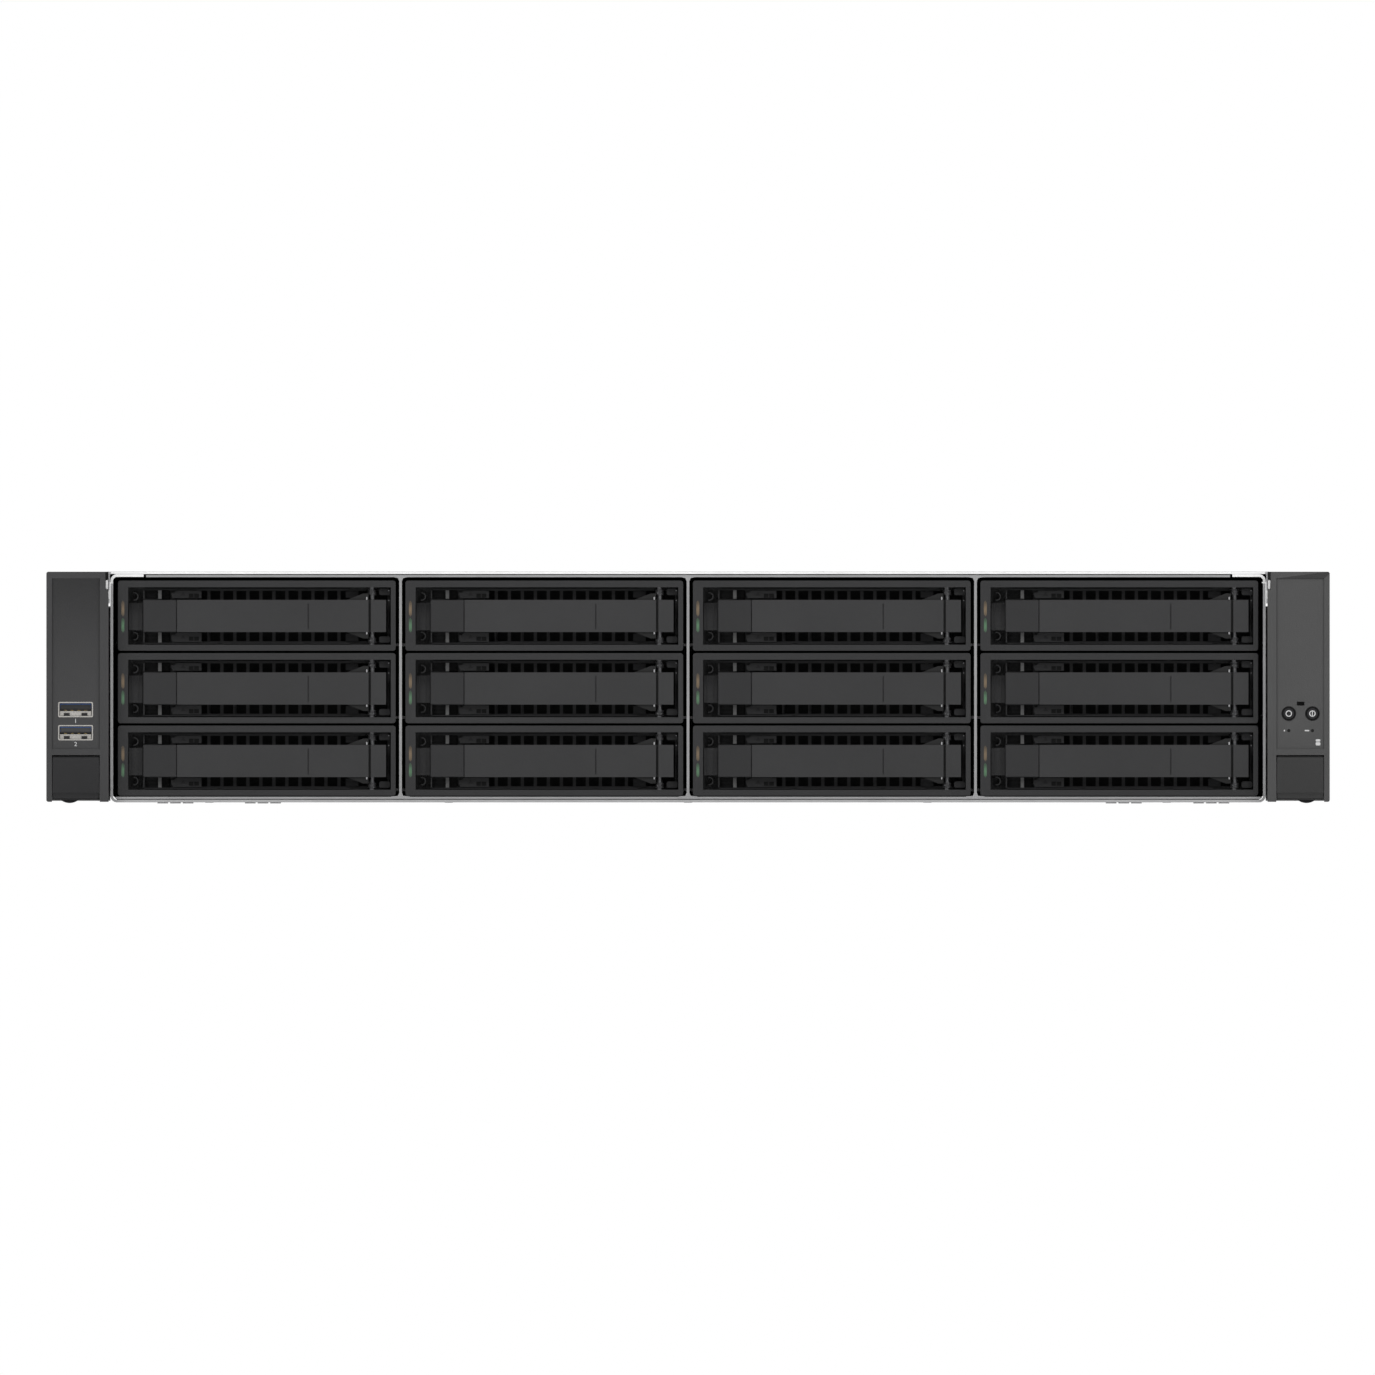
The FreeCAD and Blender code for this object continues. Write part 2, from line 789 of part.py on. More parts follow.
def rear_wall():
    """Rear panel with its openings, and the flange that closes the top."""
    body = new_body("rear_panel")
    inside = d.half_inside
    panel = cut_corner_panel(-inside, inside, d.pan_top, d.flange_bottom, d.bend_radius)
    pad(body, outline(body, "XZ", d.rear_y, panel), d.sheet_gauge)
    fold = d.rear_y - d.lintel_reach
    low = d.flange_bottom - d.sheet_gauge
    lintel = [(d.rear_y, low), (d.chassis_length, low), (d.chassis_length, d.wall_top),
              (fold, d.wall_top), (fold, d.flange_bottom), (d.rear_y, d.flange_bottom)]
    pad(body, outline(body, "YZ", -d.flange_edge, lintel), d.flange_edge * 2)
    bay = rectangle(d.bay_wall + d.sheet_gauge, inside, d.pan_top,
                    d.upper_bottom + d.supply_height + d.supply_gap)
    network = port_opening(d.network_start, d.network_port_width * NETWORK_PORTS,
                           d.network_port_height)
    video = port_opening(d.video_start, d.video_width, d.video_height)
    usb = port_opening(d.rear_usb_start, d.usb_width, d.rear_usb_height)
    holes = outline(body, "XZ", d.rear_y, bay, riser_opening(0), riser_opening(1),
                    network, video, usb)
    pocket(body, holes, d.sheet_gauge)
    return body


def fan_wall():
    """Cross wall with an opening in front of each fan."""
    body = new_body("cross_wall")
    inside, low, half = d.half_inside, fan_low(), d.fan_size / 2
    panel = cut_corner_panel(-inside, inside, d.pan_top, d.flange_bottom - d.sheet_gauge,
                             d.bend_radius)
    pad(body, outline(body, "XZ", d.fan_wall_setback, panel), d.sheet_gauge)
    inset = d.fan_bore_wall * 2
    loops = []
    for index in range(FANS):
        middle = d.fan_pitch * (index - 1)
        loops.append(rectangle(middle - half + inset, middle + half - inset,
                               low + inset, low + d.fan_size - inset))
    pocket(body, outline(body, "XZ", d.fan_wall_setback, *loops), d.sheet_gauge)
    return body


def supply_bay():
    """Side wall and middle shelf of the power supply bay."""
    gauge = d.sheet_gauge
    wall = box(d.bay_wall, d.bay_wall + gauge, d.supply_front, d.rear_y,
               d.pan_top, d.flange_bottom)
    shelf = box(d.bay_wall + gauge, d.half_inside, d.supply_front, d.rear_y,
                d.shelf_bottom, d.upper_bottom)
    return [wall, shelf]


def make_chassis_base():
    """Sheets of the enclosure, each folded panel a solid of its own."""
    wall, flange = side_wall(), top_flange()
    sheets = [pan(), wall, mirrored("left_wall", wall), flange,
              mirrored("left_flange", flange), rear_wall(), fan_wall(), *supply_bay()]
    keep("chassis_base", group("chassis", *sheets))


def make_drive_cage():
    """Floor, roof and dividers that hold four columns of carriers."""
    body = new_body("cage")
    inside = d.half_inside - d.cage_side_gap
    roof = d.flange_edge - d.cage_side_gap
    floor_plate = rectangle(-inside, inside, d.cage_floor, d.cell_bottom)
    pad(body, outline(body, "XZ", 0, floor_plate), d.cage_length)
    half, flare = d.divider_gauge / 2, d.divider_flare / 2
    for column in (-1, 0, 1):
        middle = column * d.column_pitch
        foot = d.cell_bottom - d.flare_sink
        head = d.cell_top + d.flare_sink
        low, high = foot + d.flare_rise, head - d.flare_rise
        spine = [(middle - flare, foot), (middle + flare, foot), (middle + flare, foot + d.flare_lip),
                 (middle + half * 2, low), (middle + half, low + flare / 3),
                 (middle + half, high - flare / 3), (middle + half * 2, high), (middle + flare, head),
                 (middle - flare, head), (middle - half * 2, high), (middle - half, high - flare / 3),
                 (middle - half, low + flare / 3), (middle - half * 2, low),
                 (middle - flare, foot + d.flare_lip)]
        pad(body, outline(body, "XZ", 0, spine), d.cage_length)
    roof_plate = rectangle(-roof, roof, d.cell_top, d.cage_roof)
    pad(body, outline(body, "XZ", 0, roof_plate), d.cage_length)
    reach = d.column_gap / 2 + 1
    for top in ledge_levels():
        loops = []
        for column in (-1, 0, 1):
            middle = column * d.column_pitch
            loops.append(rectangle(middle - reach, middle + reach, top - d.ledge_gauge, top))
        shelf = outline(body, "XZ", d.ledge_setback, *loops)
        pad(body, shelf, d.cage_length - d.ledge_setback * 2)
    keep("drive_cage", body)


def make_front_cover():
    body = new_body("front_plate")
    plan = rectangle(-d.half_width, d.half_width, 0, d.front_cover_length)
    pad(body, outline(body, "XY", d.wall_top, plan), d.sheet_gauge)
    keep("front_cover", body)


def cover_shell(body):
    """Plate, with its skirt down each side and its lip behind the rear wall."""
    inner = d.half_width + d.cover_gap
    outer = inner + d.sheet_gauge
    low = d.server_height - d.cover_skirt
    lip_y = d.chassis_length + d.cover_gap
    back = lip_y + d.sheet_gauge
    plan = rectangle(-outer, outer, d.top_cover_start, back)
    pad(body, outline(body, "XY", d.wall_top, plan), d.sheet_gauge)
    return [box(inner, outer, d.top_cover_start, back, low, d.wall_top),
            box(-outer, -inner, d.top_cover_start, back, low, d.wall_top),
            box(-inner, inner, lip_y, back, d.wall_top - d.cover_lip, d.wall_top)]


def cover_hooks(body):
    """Toed hooks that pass under the top flanges of the walls."""
    front = d.top_cover_start + d.hook_setback
    back = front + d.hook_length
    toe = front - d.hook_toe
    under = d.flange_bottom - 0.3
    profile = [(front, d.wall_top), (front, under), (toe, under), (toe, under - d.hook_width),
               (back, under - d.hook_width), (back, d.wall_top)]
    middle = (d.flange_edge + d.half_inside) / 2
    for side in (-1, 1):
        start = middle * side - d.hook_width / 2
        hook = pad(body, outline(body, "YZ", start, profile), d.hook_width)
        repeat(body, hook, "Y", d.hook_pitch, COVER_HOOKS)


def latch_dish(body):
    """A sunk dish for the latch, with bearing holes in its sides."""
    half, back = d.dish_width / 2, d.dish_y + d.dish_length
    sunk = outline(body, "XY", d.wall_top, rectangle(-half, half, d.dish_y, back))
    pad(body, sunk, d.dish_depth, -1)
    wall = d.sheet_gauge
    inside = rectangle(wall - half, half - wall, d.dish_y + wall, back - wall)
    pocket(body, outline(body, "XY", d.server_height, inside), d.dish_depth, -1)
    bearing = circles(body, "YZ", -half, (latch_axis_y(), d.latch_z,
                                          d.latch_pin_radius + d.bore_clearance))
    pocket(body, bearing, d.dish_width)


def latch_axis_y():
    return d.dish_y + d.sheet_gauge + d.latch_axis_setback


def make_top_cover():
    body = new_body("cover")
    folds = cover_shell(body)
    latch_dish(body)
    cover_hooks(body)
    keep("top_cover", group("cover_sheets", body, *folds))


def make_cover_latch():
    """Finger latch that lies flush in the dish and turns up on its pins."""
    body = new_body("latch")
    half, axis = d.latch_width / 2, latch_axis_y()
    end = d.dish_y + d.latch_length
    top = d.latch_z + d.latch_barrel
    low = top - d.latch_gauge
    side = [(axis, low), (end - d.latch_tip, low), (end, top - d.latch_tip_gauge),
            (end, top), (axis, top)]
    pad(body, outline(body, "YZ", -half, side), d.latch_width)
    barrel = circles(body, "YZ", -half, (axis, d.latch_z, d.latch_barrel))
    pad(body, barrel, d.latch_width)
    reach = d.dish_width / 2 - 0.1
    pins = circles(body, "YZ", -reach, (axis, d.latch_z, d.latch_pin_radius))
    pad(body, pins, reach * 2)
    grip_end = end - d.latch_grip_inset
    grip = rectangle(-half / 2, half / 2, grip_end - d.latch_grip_length, grip_end)
    pocket(body, outline(body, "XY", top, grip), d.latch_gauge / 2, -1)
    keep("cover_latch", body)


# ------------------------------------------------------------------ ears

def ear_housing(name):
    """Moulded housing of the right ear, without its controls."""
    body = new_body(name)
    shape = rectangle(d.ear_inner, d.ear_outer, d.ear_bottom, d.ear_top)
    pad(body, outline(body, "XZ", -d.ear_reach, shape), d.ear_reach + d.ear_back)
    outer = d.ear_outer.number

    def front_corner(edge):
        spot = edge.Vertexes[0].Point
        return is_along_y(edge) and is_near(spot.x, outer)

    round_edges(body, d.ear_corner, front_corner)
    panel = rectangle(d.panel_left, d.panel_right, d.flap_pocket_top + 2.3, d.ear_top - 2.5)
    pocket(body, outline(body, "XZ", -d.ear_reach, panel), d.ear_panel_depth)
    left, right = d.panel_left, d.panel_right
    well = rectangle(left, right, d.ear_bottom - 1, d.flap_pocket_top)
    pocket(body, outline(body, "XZ", -d.ear_reach, well), d.ear_reach + d.ear_back)
    bearing = circles(body, "YZ", left - d.pivot_reach - 0.2,
                      (d.barrel_radius - d.ear_reach, d.hinge_z,
                       d.pivot_radius + d.bore_clearance))
    pocket(body, bearing, right - left + (d.pivot_reach + 0.2) * 2)
    return body


def ear_bracket(name):
    """Steel flange behind the right ear, folded on to the side wall."""
    body = new_body(name)
    front, back = d.ear_back, d.ear_back + d.ear_flange_gauge
    wall = d.half_width
    plan = [(wall, d.ear_back), (d.ear_outer - 0.6, front), (d.ear_outer - 0.6, back),
            (wall + d.bracket_gauge, back), (wall + d.bracket_gauge, d.bracket_length),
            (wall, d.bracket_length)]
    low = d.ear_bottom + 0.4
    pad(body, outline(body, "XY", low, plan), d.ear_top - d.cover_skirt - 1 - low)
    hole = circles(body, "XZ", front - 1, (d.screw_x, d.screw_height,
                                          d.screw_shank_radius + d.bore_clearance))
    pocket(body, hole, d.ear_flange_gauge + 2)
    return body


def usb_port(level):
    """Open metal shell of one port, with its tongue."""
    shell = new_body("usb_shell")
    middle = -(d.ear_outer - d.usb_inset)
    half, front = d.usb_width / 2, d.ear_panel_depth - d.ear_reach
    rim = rectangle(middle - half, middle + half, level, level + d.usb_height)
    pad(shell, outline(shell, "XZ", front, rim), d.usb_length)
    wall = d.usb_shell
    mouth = rectangle(middle - half + wall, middle + half - wall, level + wall,
                      level + d.usb_height - wall)
    pocket(shell, outline(shell, "XZ", front, mouth), d.usb_length - wall)
    tongue = rectangle(middle - half + wall * 2, middle + half - wall * 2,
                       level + d.usb_height * 0.5, level + d.usb_height * 0.84)
    pad(shell, outline(shell, "XZ", front + wall, tongue), d.usb_length - wall * 2)
    return shell


def usb_levels():
    return (d.usb_low, d.usb_low + d.usb_pitch)


def make_left_ear():
    half, middle = d.usb_width / 2, -(d.ear_outer - d.usb_inset)
    holes = []
    for level in usb_levels():
        holes.append(box(middle - half, middle + half, -d.ear_reach - 1,
                         d.ear_panel_depth - d.ear_reach + d.usb_length,
                         level, level + d.usb_height))
    shell = cut("left_housing", mirrored("housing_mirror", ear_housing("housing_left")),
                group("usb_holes", *holes))
    plate = mirrored("bracket_mirror", ear_bracket("bracket_left"))
    ports = [usb_port(level) for level in usb_levels()]
    keep("left_ear", group("left_ear_group", shell, plate, *ports))


def button_places():
    """Centres of the power button and the locator button."""
    first = d.ear_inner + d.power_button_inset
    return (first, first + d.button_pitch)


def make_right_ear():
    """Right ear: wells for two buttons and a slot between them."""
    body = ear_housing("housing_right")
    face = d.ear_panel_depth - d.ear_reach
    well = d.button_cap_radius + d.button_ring
    wells = [(x, d.button_height, well) for x in button_places()]
    pocket(body, circles(body, "XZ", face, *wells), d.button_well_depth)
    left, right = button_places()
    slot = rectangle((left + right) / 2 - 1.45, (left + right) / 2 + 1.45,
                     d.button_height + 3, d.button_height + 4.5)
    pocket(body, outline(body, "XZ", face, slot), d.button_well_depth / 2)
    keep("right_ear", group("right_ear_group", body, ear_bracket("bracket_right")))


def make_button(label, x):
    """Round cap; its place is the centre of its face."""
    body = new_body("cap")
    length = d.button_well_depth - d.button_stroke - 0.2 + d.button_proud
    pad(body, circles(body, "XZ", 0, (0, 0, d.button_cap_radius)), length)
    front = d.ear_panel_depth - d.ear_reach - d.button_proud
    keep(label, body, x, front, d.button_height)


def make_flap(label, side):
    """Flap over the rack screw, hung on two pivots at its top."""
    body = new_body("flap")
    half = (d.panel_right - d.panel_left) / 2
    wide = half - d.flap_gap
    radius = d.barrel_radius
    foot = radius + d.flap_gap - d.flap_pocket_top + d.ear_bottom + d.flap_gap * 4
    step = d.grip_step
    side_view = [(-radius, 0), (-radius, foot + step * 5.2), (step - radius, foot + step * 5.2 - step),
                 (step - radius, foot + step), (step * 2 - radius, foot + step),
                 (step * 2 - radius, foot), (d.flap_gauge - radius + step, foot),
                 (d.flap_gauge - radius + step, foot + step * 4),
                 (d.flap_gauge - radius, foot + step * 6), (d.flap_gauge - radius, 0)]
    pad(body, outline(body, "YZ", -wide, side_view), wide * 2)
    pad(body, circles(body, "YZ", -wide, (0, 0, radius)), wide * 2)
    reach = half + d.pivot_reach
    pad(body, circles(body, "YZ", -reach, (0, 0, d.pivot_radius)), reach * 2)
    middle = (d.panel_left + d.panel_right) / 2 * side
    keep(label, body, middle, d.barrel_radius - d.ear_reach, d.hinge_z)


def make_captive_screw(label, side):
    """Finger screw that clamps the ear to the rack post."""
    body = new_body("screw")
    grip = circles(body, "XZ", -d.screw_head_length, (0, 0, d.screw_head_radius))
    pad(body, grip, d.screw_head_length)
    neck = d.ear_flange_gauge + d.screw_neck_gap
    pad(body, circles(body, "XZ", 0, (0, 0, d.screw_neck_radius)), neck)
    pad(body, circles(body, "XZ", neck, (0, 0, d.screw_shank_radius)), d.screw_reach)
    drive = rectangle(-d.screw_head_radius * 0.5, d.screw_head_radius * 0.5, -0.6, 0.6)
    pocket(body, outline(body, "XZ", -d.screw_head_length, drive), 1.5)
    keep(label, body, d.screw_x * side, d.ear_back, d.screw_height)


# -------------------------------------------------------------- carriers

def carrier_frame():
    """Moulded bezel with its vent grille, and the two rails behind it."""
    body = new_body("carrier_bezel")
    width, height = d.bezel_width, d.bezel_height
    pad(body, outline(body, "XZ", 0, rectangle(0, width, 0, height)), d.bezel_depth)
    recess = rectangle(d.left_bar, width - d.right_bar, d.bottom_bar, height - d.top_bar)
    pocket(body, outline(body, "XZ", 0, recess), d.recess_depth)
    boss_left = d.left_bar + 0.3
    boss = rectangle(boss_left, boss_left + d.boss_width + 0.5, d.lever_bottom + 0.7,
                     d.lever_top - 1.2)
    pad(body, outline(body, "XZ", d.recess_depth, boss), d.boss_depth, -1)
    carrier_vents(body)
    rails = [rectangle(0, d.rail_gauge, d.rail_inset, height - d.rail_inset),
             rectangle(width - d.rail_gauge, width, d.rail_inset, height - d.rail_inset)]
    pad(body, outline(body, "XZ", d.bezel_depth, *rails), d.rail_back - d.bezel_depth)
    return body


def carrier_vents(body):
    """Vent slots, the two side windows and the corner pockets."""
    low = d.bottom_bar + d.vent_margin
    high = d.bezel_height - d.top_bar - d.vent_margin
    pitch = (d.window_left - d.vent_start) / VENT_SLOTS
    first = rectangle(d.vent_start, d.vent_start + pitch - d.vent_rib, low, high)
    slot = pocket(body, outline(body, "XZ", d.recess_depth - 0.1, first), d.vent_plate + 1)
    repeat(body, slot, "X", pitch, VENT_SLOTS)
    stem_right = d.release_start + d.release_width - 2.4
    window = rectangle(stem_right - d.window_width, stem_right, low, high)
    side = rectangle(d.window_left, d.bezel_width - d.right_bar - d.window_margin, low, high)
    pocket(body, outline(body, "XZ", d.recess_depth - 0.1, window, side), d.vent_plate + 1)
    left = d.left_bar + 0.9
    corners = [rectangle(left, left + d.pocket_width, low, low + d.pocket_height),
               rectangle(left, left + d.pocket_width, high - d.pocket_height, high)]
    pocket(body, outline(body, "XZ", d.recess_depth, *corners), d.pocket_depth)


def carrier_pin():
    """Hinge pin of the lever, held between the top and bottom bars."""
    length = d.bezel_height - d.top_bar - d.bottom_bar
    return rod("Z", d.hinge_x, d.hinge_setback, d.bottom_bar, d.hinge_pin_radius, length)


def carrier_drive():
    """A 3.5-inch drive between the rails: casting and raised lid."""
    body = new_body("drive")
    left, right = d.rail_gauge, d.bezel_width - d.rail_gauge
    low, high = d.drive_inset, d.bezel_height - d.drive_inset
    case = rectangle(left, right, low, high - d.drive_lid)
    pad(body, outline(body, "XZ", d.drive_front, case), d.drive_length)
    inset = d.drive_lid_inset
    lid = rectangle(left + inset, right - inset, d.drive_front + inset, d.drive_back - inset)
    pad(body, outline(body, "XY", high - d.drive_lid, lid), d.drive_lid)
    return body


def carrier_lever():
    """Ejector lever: grip plate, hinge knuckle, tail and two flared arms."""
    body = new_body("lever_plate")
    face, back = d.face_inset, d.face_inset + d.lever_gauge
    tall = d.lever_top - d.lever_bottom
    tail_left = d.tail_end - d.tail_length
    notch = tail_left - d.tail_gap
    plan = [(d.lever_start, face), (notch, face), (notch, face + 1), (tail_left, face + 1),
            (tail_left, face), (d.tail_end, face), (d.tail_end, back + 0.3),
            (d.hinge_x + d.knuckle_radius * 0.8, d.hinge_setback + 1),
            (d.hinge_x - d.knuckle_radius * 0.8, d.hinge_setback + 1),
            (d.hinge_x - d.arm_run, back), (d.lever_start, back)]
    pad(body, outline(body, "XY", d.lever_bottom, plan), tall)
    knuckle = hexagon(d.hinge_x, d.hinge_setback, d.knuckle_radius)
    pad(body, outline(body, "XY", d.lever_bottom, knuckle), tall)
    arm_end = d.hinge_x - d.hinge_pin_radius - 0.3
    arm = [(d.hinge_x - d.arm_run - 1.5, d.lever_bottom), (arm_end - 2, d.lever_bottom - d.arm_flare),
           (arm_end, d.lever_bottom - d.arm_flare), (arm_end, d.lever_top + d.arm_flare),
           (arm_end - 2, d.lever_top + d.arm_flare), (d.hinge_x - d.arm_run - 1.5, d.lever_top)]
    pad(body, outline(body, "XZ", back - 1, arm), d.lever_gauge)
    snug = d.hinge_pin_radius + d.bore_clearance
    bore = rectangle(d.hinge_x - snug, d.hinge_x + snug,
                     d.hinge_setback - snug, d.hinge_setback + snug)
    pocket(body, outline(body, "XY", d.lever_bottom - 0.5, bore), tall + 1)
    start = d.hinge_x - d.groove_setback
    groove = rectangle(start, start + d.groove_width, d.lever_bottom + 1.1, d.lever_top - 1.5)
    pocket(body, outline(body, "XZ", face - 0.1, groove), d.groove_depth + 0.1)
    return body


def carrier_release():
    """Release button: front plate and the stem that frees the lever."""
    body = new_body("release_plate")
    face, back = d.face_inset, d.face_inset + d.lever_gauge
    start, end = d.release_start, d.release_start + d.release_width
    plate = rectangle(start, end, d.lever_bottom, d.lever_top)
    pad(body, outline(body, "XZ", face, plate), d.lever_gauge)
    right = end - 2.75
    middle = (d.lever_bottom + d.lever_top) / 2
    stem = rectangle(right - d.stem_width, right, middle - d.stem_height / 2,
                     middle + d.stem_height / 2)
    length = d.drive_front - d.release_travel - 0.3 - back
    pad(body, outline(body, "XZ", back, stem), length)
    return body


def make_carriers():
    """Twelve bays, each with a carrier, its lever and its release button."""
    frame, pin, drive = carrier_frame(), carrier_pin(), carrier_drive()
    lever, release = carrier_lever(), carrier_release()
    for column in range(COLUMNS):
        for row in range(ROWS):
            bay = f"c{column + 1}_r{row + 1}"
            x = d.first_column + column * d.column_pitch
            z = d.first_row + row * d.row_pitch
            keep(f"carrier_{bay}", group("carrier", frame, pin, drive), x, 0, z)
            keep(f"lever_{bay}", group("lever", lever), x, 0, z)
            keep(f"release_button_{bay}", group("release", release), x, 0, z)


def make_backplane():
    """Board behind the drives, with a connector and an airway to each."""
    body = new_body("backplane")
    inside = d.half_inside - d.bend_radius
    y = d.cage_length
    board = rectangle(-inside, inside, d.cage_floor, d.flange_bottom - d.board_edge_gap)
    pad(body, outline(body, "XZ", y, board), d.backplane_gauge)
    for column in range(COLUMNS):
        left = d.first_column + column * d.column_pitch + d.connector_inset
        for row in range(ROWS):
            low = d.first_row + row * d.row_pitch + d.connector_lift
            plug = rectangle(left, left + d.connector_width, low, low + d.connector_height)
            pad(body, outline(body, "XZ", y, plug), d.connector_reach, -1)
    holes = []
    for column in range(COLUMNS):
        left = d.first_column + column * d.column_pitch + d.airway_inset
        for row in range(ROWS):
            low = d.first_row + row * d.row_pitch + d.airway_lift
            holes.append(rectangle(left, left + d.airway_width, low, low + d.airway_height))
    pocket(body, outline(body, "XZ", y - 0.5, *holes), d.backplane_gauge + 1)
    keep("drive_backplane", body)


# ------------------------------------------------------------------ fans

def fan_low():
    return d.pan_top + d.fan_lift


def fan_frame():
    """Square frame with a round duct, four struts and the motor seat."""
    body = new_body("fan_frame")
    half = d.fan_size / 2
    pad(body, outline(body, "XZ", 0, rectangle(-half, half, -half, half)), d.fan_depth)
    duct = half - d.fan_bore_wall
    pocket(body, circles(body, "XZ", -1, (0, 0, duct)), d.fan_depth + 2)
    start = d.fan_depth - d.fan_grille_depth
    pad(body, circles(body, "XZ", start, (0, 0, d.fan_hub_radius)), d.fan_grille_depth)
    strut = d.fan_strut / 2
    reach = duct + d.fan_bore_wall / 2
    upright = rectangle(-strut, strut, -reach, reach)
    level = rectangle(-reach, reach, -strut, strut)
    pad(body, outline(body, "XZ", start, upright), d.fan_grille_depth)
    pad(body, outline(body, "XZ", start, level), d.fan_grille_depth)
    bearing = circles(body, "XZ", start - 1, (0, 0, d.fan_shaft_radius + d.bore_clearance))
    pocket(body, bearing, d.fan_grille_depth + 2)
    return body


def facets(radius, count):
    """Corners of a hub with flat sides, one side square to each blade."""
    turn = math.pi / count
    reach = radius / math.cos(turn)
    return [(reach * math.cos(turn * (2 * side + 1)), reach * math.sin(turn * (2 * side + 1)))
            for side in range(count)]


def blade_section(body, at, chord):
    """One section of a blade, turned to its pitch about the radius."""
    half = d.blade_gauge / 2
    sketch = outline(body, "YZ", at, rectangle(-chord / 2, chord / 2, -half, half))
    bind(sketch, "AttachmentOffset.Base.z", at)
    bind(sketch, "AttachmentOffset.Rotation.Angle", 90 - d.blade_angle)
    return sketch


def fan_rotor():
    """Hub with a ring of pitched, flaring blades and a shaft."""
    body = new_body("rotor")
    half = d.fan_rotor_depth / 2
    sweep = d.fan_size / 2 - d.fan_bore_wall - d.fan_tip_gap
    tip = sweep - d.blade_tip_chord * d.blade_tip_chord / (sweep * 8)
    root = blade_section(body, d.fan_hub_radius - 1.5, d.blade_root_chord)
    end = blade_section(body, tip, d.blade_tip_chord)
    hub = facets(d.fan_hub_radius, FAN_BLADES * 2)
    pad(body, outline(body, "XZ", -half, hub), d.fan_rotor_depth)
    blade = body.newObject("PartDesign::AdditiveLoft", "blade")
    blade.Profile = root
    blade.Sections = [end]
    blade.Ruled = True
    repeat_round(body, blade, "Y", FAN_BLADES)
    shaft = half + d.fan_grille_depth
    pad(body, circles(body, "XZ", 0, (0, 0, d.fan_shaft_radius)), shaft)
    return body


def make_fans():
    """Three fan units across the server, behind the cross wall."""
    frame, rotor = fan_frame(), fan_rotor()
    z = fan_low() + d.fan_size / 2
    y = d.fan_wall_setback + d.sheet_gauge
    frames = []
    for index in range(FANS):
        x = (index - 1) * d.fan_pitch
        frames.append(place(group("fan", frame), x, y, z))
        middle = y + d.fan_depth - d.fan_grille_depth - d.fan_rotor_depth / 2 - 1
        keep(f"fan_rotor_{index + 1}", group("rotor", rotor), x, middle, z)
    keep("fan_frames", group("fan_frames_group", *frames))


# ------------------------------------------------- main board and risers

def memory_modules():
    """Two banks of memory modules, one each side of a processor."""
    modules = []
    low = d.board_top
    for bank in (-0.86, -0.04):
        for slot in range(MEMORY_SLOTS):
            x = d.half_inside * bank + slot * d.memory_pitch
            modules.append(box(x, x + d.memory_gauge, d.memory_setback,
                               d.memory_setback + d.memory_length, low, low + d.memory_height))
    return modules


def heatsink():
    """Finned block over one processor."""
    body = new_body("heatsink")
    pad(body, outline(body, "XZ", 0, rectangle(0, d.heatsink_width, 0, d.heatsink_base)),
        d.heatsink_length)
    fin = rectangle(0, d.fin_gauge, 0, d.heatsink_height)
    first = pad(body, outline(body, "XZ", 0, fin), d.heatsink_length)
    span = (d.heatsink_width - d.fin_gauge) / (HEATSINK_FINS - 1)
    repeat(body, first, "X", span, HEATSINK_FINS)
    return body


def network_jacks():
    """Block of network sockets at the rear edge of the board."""
    body = new_body("jacks")
    left = d.network_start - d.half_inside
    width, height = d.network_port_width, d.network_port_height
    front = d.chassis_length - d.network_port_length
    rim = rectangle(left, left + width * NETWORK_PORTS, d.port_bottom, d.port_bottom + height)
    pad(body, outline(body, "XZ", front, rim), d.network_port_length)
    start = left + (width - d.jack_width) / 2
    low = d.port_bottom + (height - d.jack_height) / 2
    jack = rectangle(start, start + d.jack_width, low, low + d.jack_height)
    hole = pocket(body, outline(body, "XZ", d.chassis_length, jack), d.jack_depth, -1)
    repeat(body, hole, "X", width, NETWORK_PORTS)
    return body


def rear_port(start, width, height, proud):
    """A plain port block that reaches through the rear wall."""
    left = start - d.half_inside
    front = d.chassis_length - d.network_port_length
    return box(left, left + width, front, d.chassis_length + proud,
               d.port_bottom, d.port_bottom + height)


def make_main_board():
    """Board on its standoffs, with memory and heatsinks."""
    left = -d.half_inside + 1
    right = d.bay_wall - 2
    back = d.rear_y - d.board_rear_gap
    board = box(left, right, d.board_setback, back, d.pan_top + d.board_lift, d.board_top)
    sinks = []
    for bank in (-0.86, -0.04):
        x = d.half_inside * bank + MEMORY_SLOTS * d.memory_pitch + 4
        item = group("sink", heatsink_master)
        sinks.append(place(item, x, d.memory_setback + 12, d.board_top))
    keep("main_board", group("board_group", board, *memory_modules(), *sinks))


